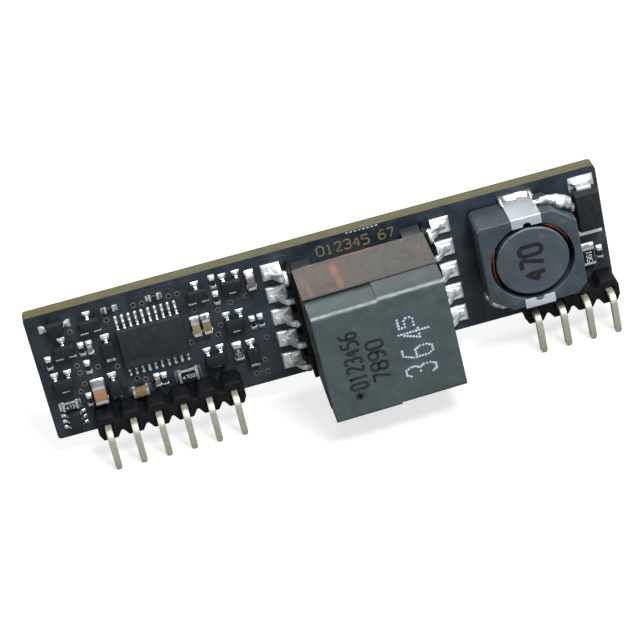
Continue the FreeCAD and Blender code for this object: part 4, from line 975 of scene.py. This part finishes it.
for at, grow in ((here, 1.12), (around, 0.6)):
    path = [(1.35, 2.5, 5.0), (2.0, 2.6, 5.08), (2.7, 2.75, 5.12), (3.3, 2.8, 4.98), (3.9, 2.8, 4.6),
            (4.45, 2.75, 4.1), (4.85, 2.65, 3.5), (4.95, 2.6, 3.1)]
    path = bend(path, 0.5, 4)
    radii = []
    for k in range(len(path)):
        t = k / (len(path) - 1)
        swell = 0.24 + 0.46 * math.exp(-((t - 0.6) / 0.27) ** 2) + 0.12 * math.exp(-((t - 0.2) / 0.12) ** 2)
        radii.append(grow * swell * (1.0 if t < 0.9 else max(0.25, 1 - (t - 0.9) * 7)))
    verts, faces = tube(path, radii, 20)
    shaped = []
    for x, o, z in verts:
        p = Vector((x * 2.0, o * 2.0, z * 2.0))
        bump = 0.13 * grow * noise.noise(p) + 0.05 * noise.noise(p * 2.7)
        shaped.append((x + bump * 0.5, o + bump, min(z + bump, 5.85)))
    blob.add((shaped, faces), at)
blob.done(60)
lands = Piece("inductor_fillets", "solder", ["wrinkled"], "inductor_solder")
for at, over, ears in ((here, 0.5, 1.0), (around, 0.38, 0.7)):
    def high(x, z):
        if z < 4.99:
            return 0.05
        t = min((z - 5.0) / over, 1)
        ear = math.exp(-((abs(x) - 1.45) / 0.22) ** 2)
        climb = 0.95 + 0.45 * ear - 0.25 * math.cos(x * 1.2)
        fold = 0.12 * math.sin(x * 5 + 3 * z) + 0.18 * wobble(x, z, 3.1)
        return 0.05 + ears * (climb * (1 - t) ** (1.5 - 0.8 * ear) + fold * (1 - t))
    lands.add(mound(-1.72, 1.72, 3.65, 4.85 + over, high, 40, 26, 0.05), at)
lands.done(60)

# Output diode
plain("output_diode_moulding", "package", "small_package", "output_diode_body", 0.07)
upend = spot((55.35, 10.2), 90)
straps = Piece("output_diode_straps", "tinned_metal", ["clip"], "output_diode_leads")
lands = Piece("output_diode_fillets", "solder", ["pad_solder"], "output_diode_solder")
for flip in (HERE, BACKWARD):
    path = bend([(1.99, 1.175), (2.4, 1.175), (2.4, 0.15), (1.0, 0.15)], 0.22, 4)
    straps.add(strip(path, 0.2, 1.45), upend @ flip, bevel=0.03, segments=1, sharp=40)

    def high(x, z):
        t = min(max(x - 2.5, 0) / 0.6, 1)
        side = min(max(abs(z) - 0.72, 0) / 0.53, 1)
        climb = (0.45 if x > 2.45 else 0.045) * (1 - t) ** 2 * (1 - side) ** 1.3
        return 0.04 + climb + 0.05 * wobble(x, z, 2.5)
    lands.add(mound(1.0, 3.1, -1.25, 1.25, high, 18, 16, 0.1), upend @ flip)
sheet = mound(2.9, 3.5, -1.3, 1.3, lambda x, z: 0.07 + 0.01 * wobble(x, z, 2), 8, 10, 0.04)
lands.add(sheet, upend @ BACKWARD)
straps.done(45)
lands.done(60)

# Bare metal marks and small white marks on the board, in place of its writing
marks = Piece("board_marks", "pin_plating", ["gold", "ink"])
flat_digits(marks, "012345", spot((28.9, 12.2)), 1.0, 0.15, -0.004, 0.028, 0, 1.36)
flat_digits(marks, "67", spot((35.1, 12.25)), 0.95, 0.15, -0.004, 0.028, 0, 1.36)
for k in range(8):
    marks.add(block(32.0 + k * 0.42, 32.24 + k * 0.42, 0.0, 0.015, 13.82, 13.93), ON_BOARD, look=1)
marks.done()

# Camera at the photograph's angle
azimuth, elevation, roll = math.radians(3.538), math.radians(30.689), math.radians(13.480)
level = math.cos(elevation)
ahead = Vector((math.sin(azimuth) * level, math.cos(azimuth) * level, -math.sin(elevation)))
right0 = ahead.cross(Vector((0, 0, 1))).normalized()
down0 = ahead.cross(right0)
right = right0 * math.cos(roll) + down0 * math.sin(roll)
up = right.cross(ahead)
lens = bpy.data.cameras.new("camera")
lens.lens = 145.13
lens.sensor_width = 36
lens.clip_start = 0.01
lens.clip_end = 20
camera = bpy.data.objects.new("camera", lens)
turn = Matrix((right, up, -ahead)).transposed().to_4x4()
camera.matrix_world = Matrix.Translation(Vector((-16.15, -212.41, 133.86)) * MM) @ turn
scene.collection.objects.link(camera)
scene.camera = camera

# Floor, studio light and a white surround for the camera, metal and gloss
floor_mesh = bpy.data.meshes.new("floor")
size, foot = 3.0, -0.00271
corners = [(x * size, y * size, foot) for x, y in ((-1, -1), (1, -1), (1, 1), (-1, 1))]
floor_mesh.from_pydata(corners, [], [(0, 1, 2, 3)])
floor = bpy.data.objects.new("floor", floor_mesh)
scene.collection.objects.link(floor)
paper = bpy.data.materials.new("floor_paper")
paper.use_nodes = True
tree = paper.node_tree
base = tree.nodes["Principled BSDF"]
base.inputs["Base Color"].default_value = (0.36, 0.36, 0.36, 1)
base.inputs["Roughness"].default_value = 0.9
base.inputs["Specular IOR Level"].default_value = 0.0
dark = wire(tree, "Emission", None, 0.0)
glow = wire(tree, "Emission", (1, 1, 1, 1), 0.72)
pick = wire(tree, "MixShader", wire(tree, "LightPath")["Is Camera Ray"], dark[0], glow[0])
total = wire(tree, "AddShader", base.outputs[0], pick[0])
tree.links.new(total[0], tree.nodes["Material Output"].inputs["Surface"])
floor_mesh.materials.append(paper)

world = bpy.data.worlds.new("studio")
scene.world = world
world.use_nodes = True
tree = world.node_tree
soft = tree.nodes["Background"]
soft.inputs["Color"].default_value = (0.9, 0.95, 1.0, 1)
soft.inputs["Strength"].default_value = 0.26
ray = wire(tree, "LightPath")
mirrored = wire(tree, "Math", ray["Is Glossy Ray"], ray["Is Transmission Ray"], operation="MAXIMUM")
either = wire(tree, "Math", ray["Is Camera Ray"], mirrored[0], operation="MAXIMUM")
# Metal and gloss see a surround that falls off towards the left
toward = wire(tree, "SeparateXYZ", wire(tree, "TexCoord")["Generated"])
side = wire(tree, "MapRange", toward["X"], -0.95, -0.25, 0.12, 1.0)
strength = wire(tree, "Math", ray["Is Camera Ray"], side[0], operation="MAXIMUM")
seen = wire(tree, "Background", (1, 1, 1, 1), strength[0])
mixed = wire(tree, "MixShader", either[0], soft.outputs[0], seen[0])
tree.links.new(mixed[0], tree.nodes["World Output"].inputs["Surface"])


def lamp(name, place, size, power):
    """Round area lamp that faces the object."""
    data = bpy.data.lights.new(name, "AREA")
    data.shape = "DISK"
    data.size = size
    data.energy = power
    ob = bpy.data.objects.new(name, data)
    ob.location = Vector(place)
    ob.rotation_mode = "QUATERNION"
    ob.rotation_quaternion = (Vector((0, 0, 0.005)) - Vector(place)).to_track_quat("-Z", "Y")
    scene.collection.objects.link(ob)


lamp("key", (0.12, -0.27, 0.42), 0.16, 2.7)
lamp("overhead", (0.0, 0.1, 0.5), 0.3, 0.9)
lamp("behind", (-0.15, 0.5, 0.2), 0.4, 0.9)

scene.view_settings.view_transform = "Standard"
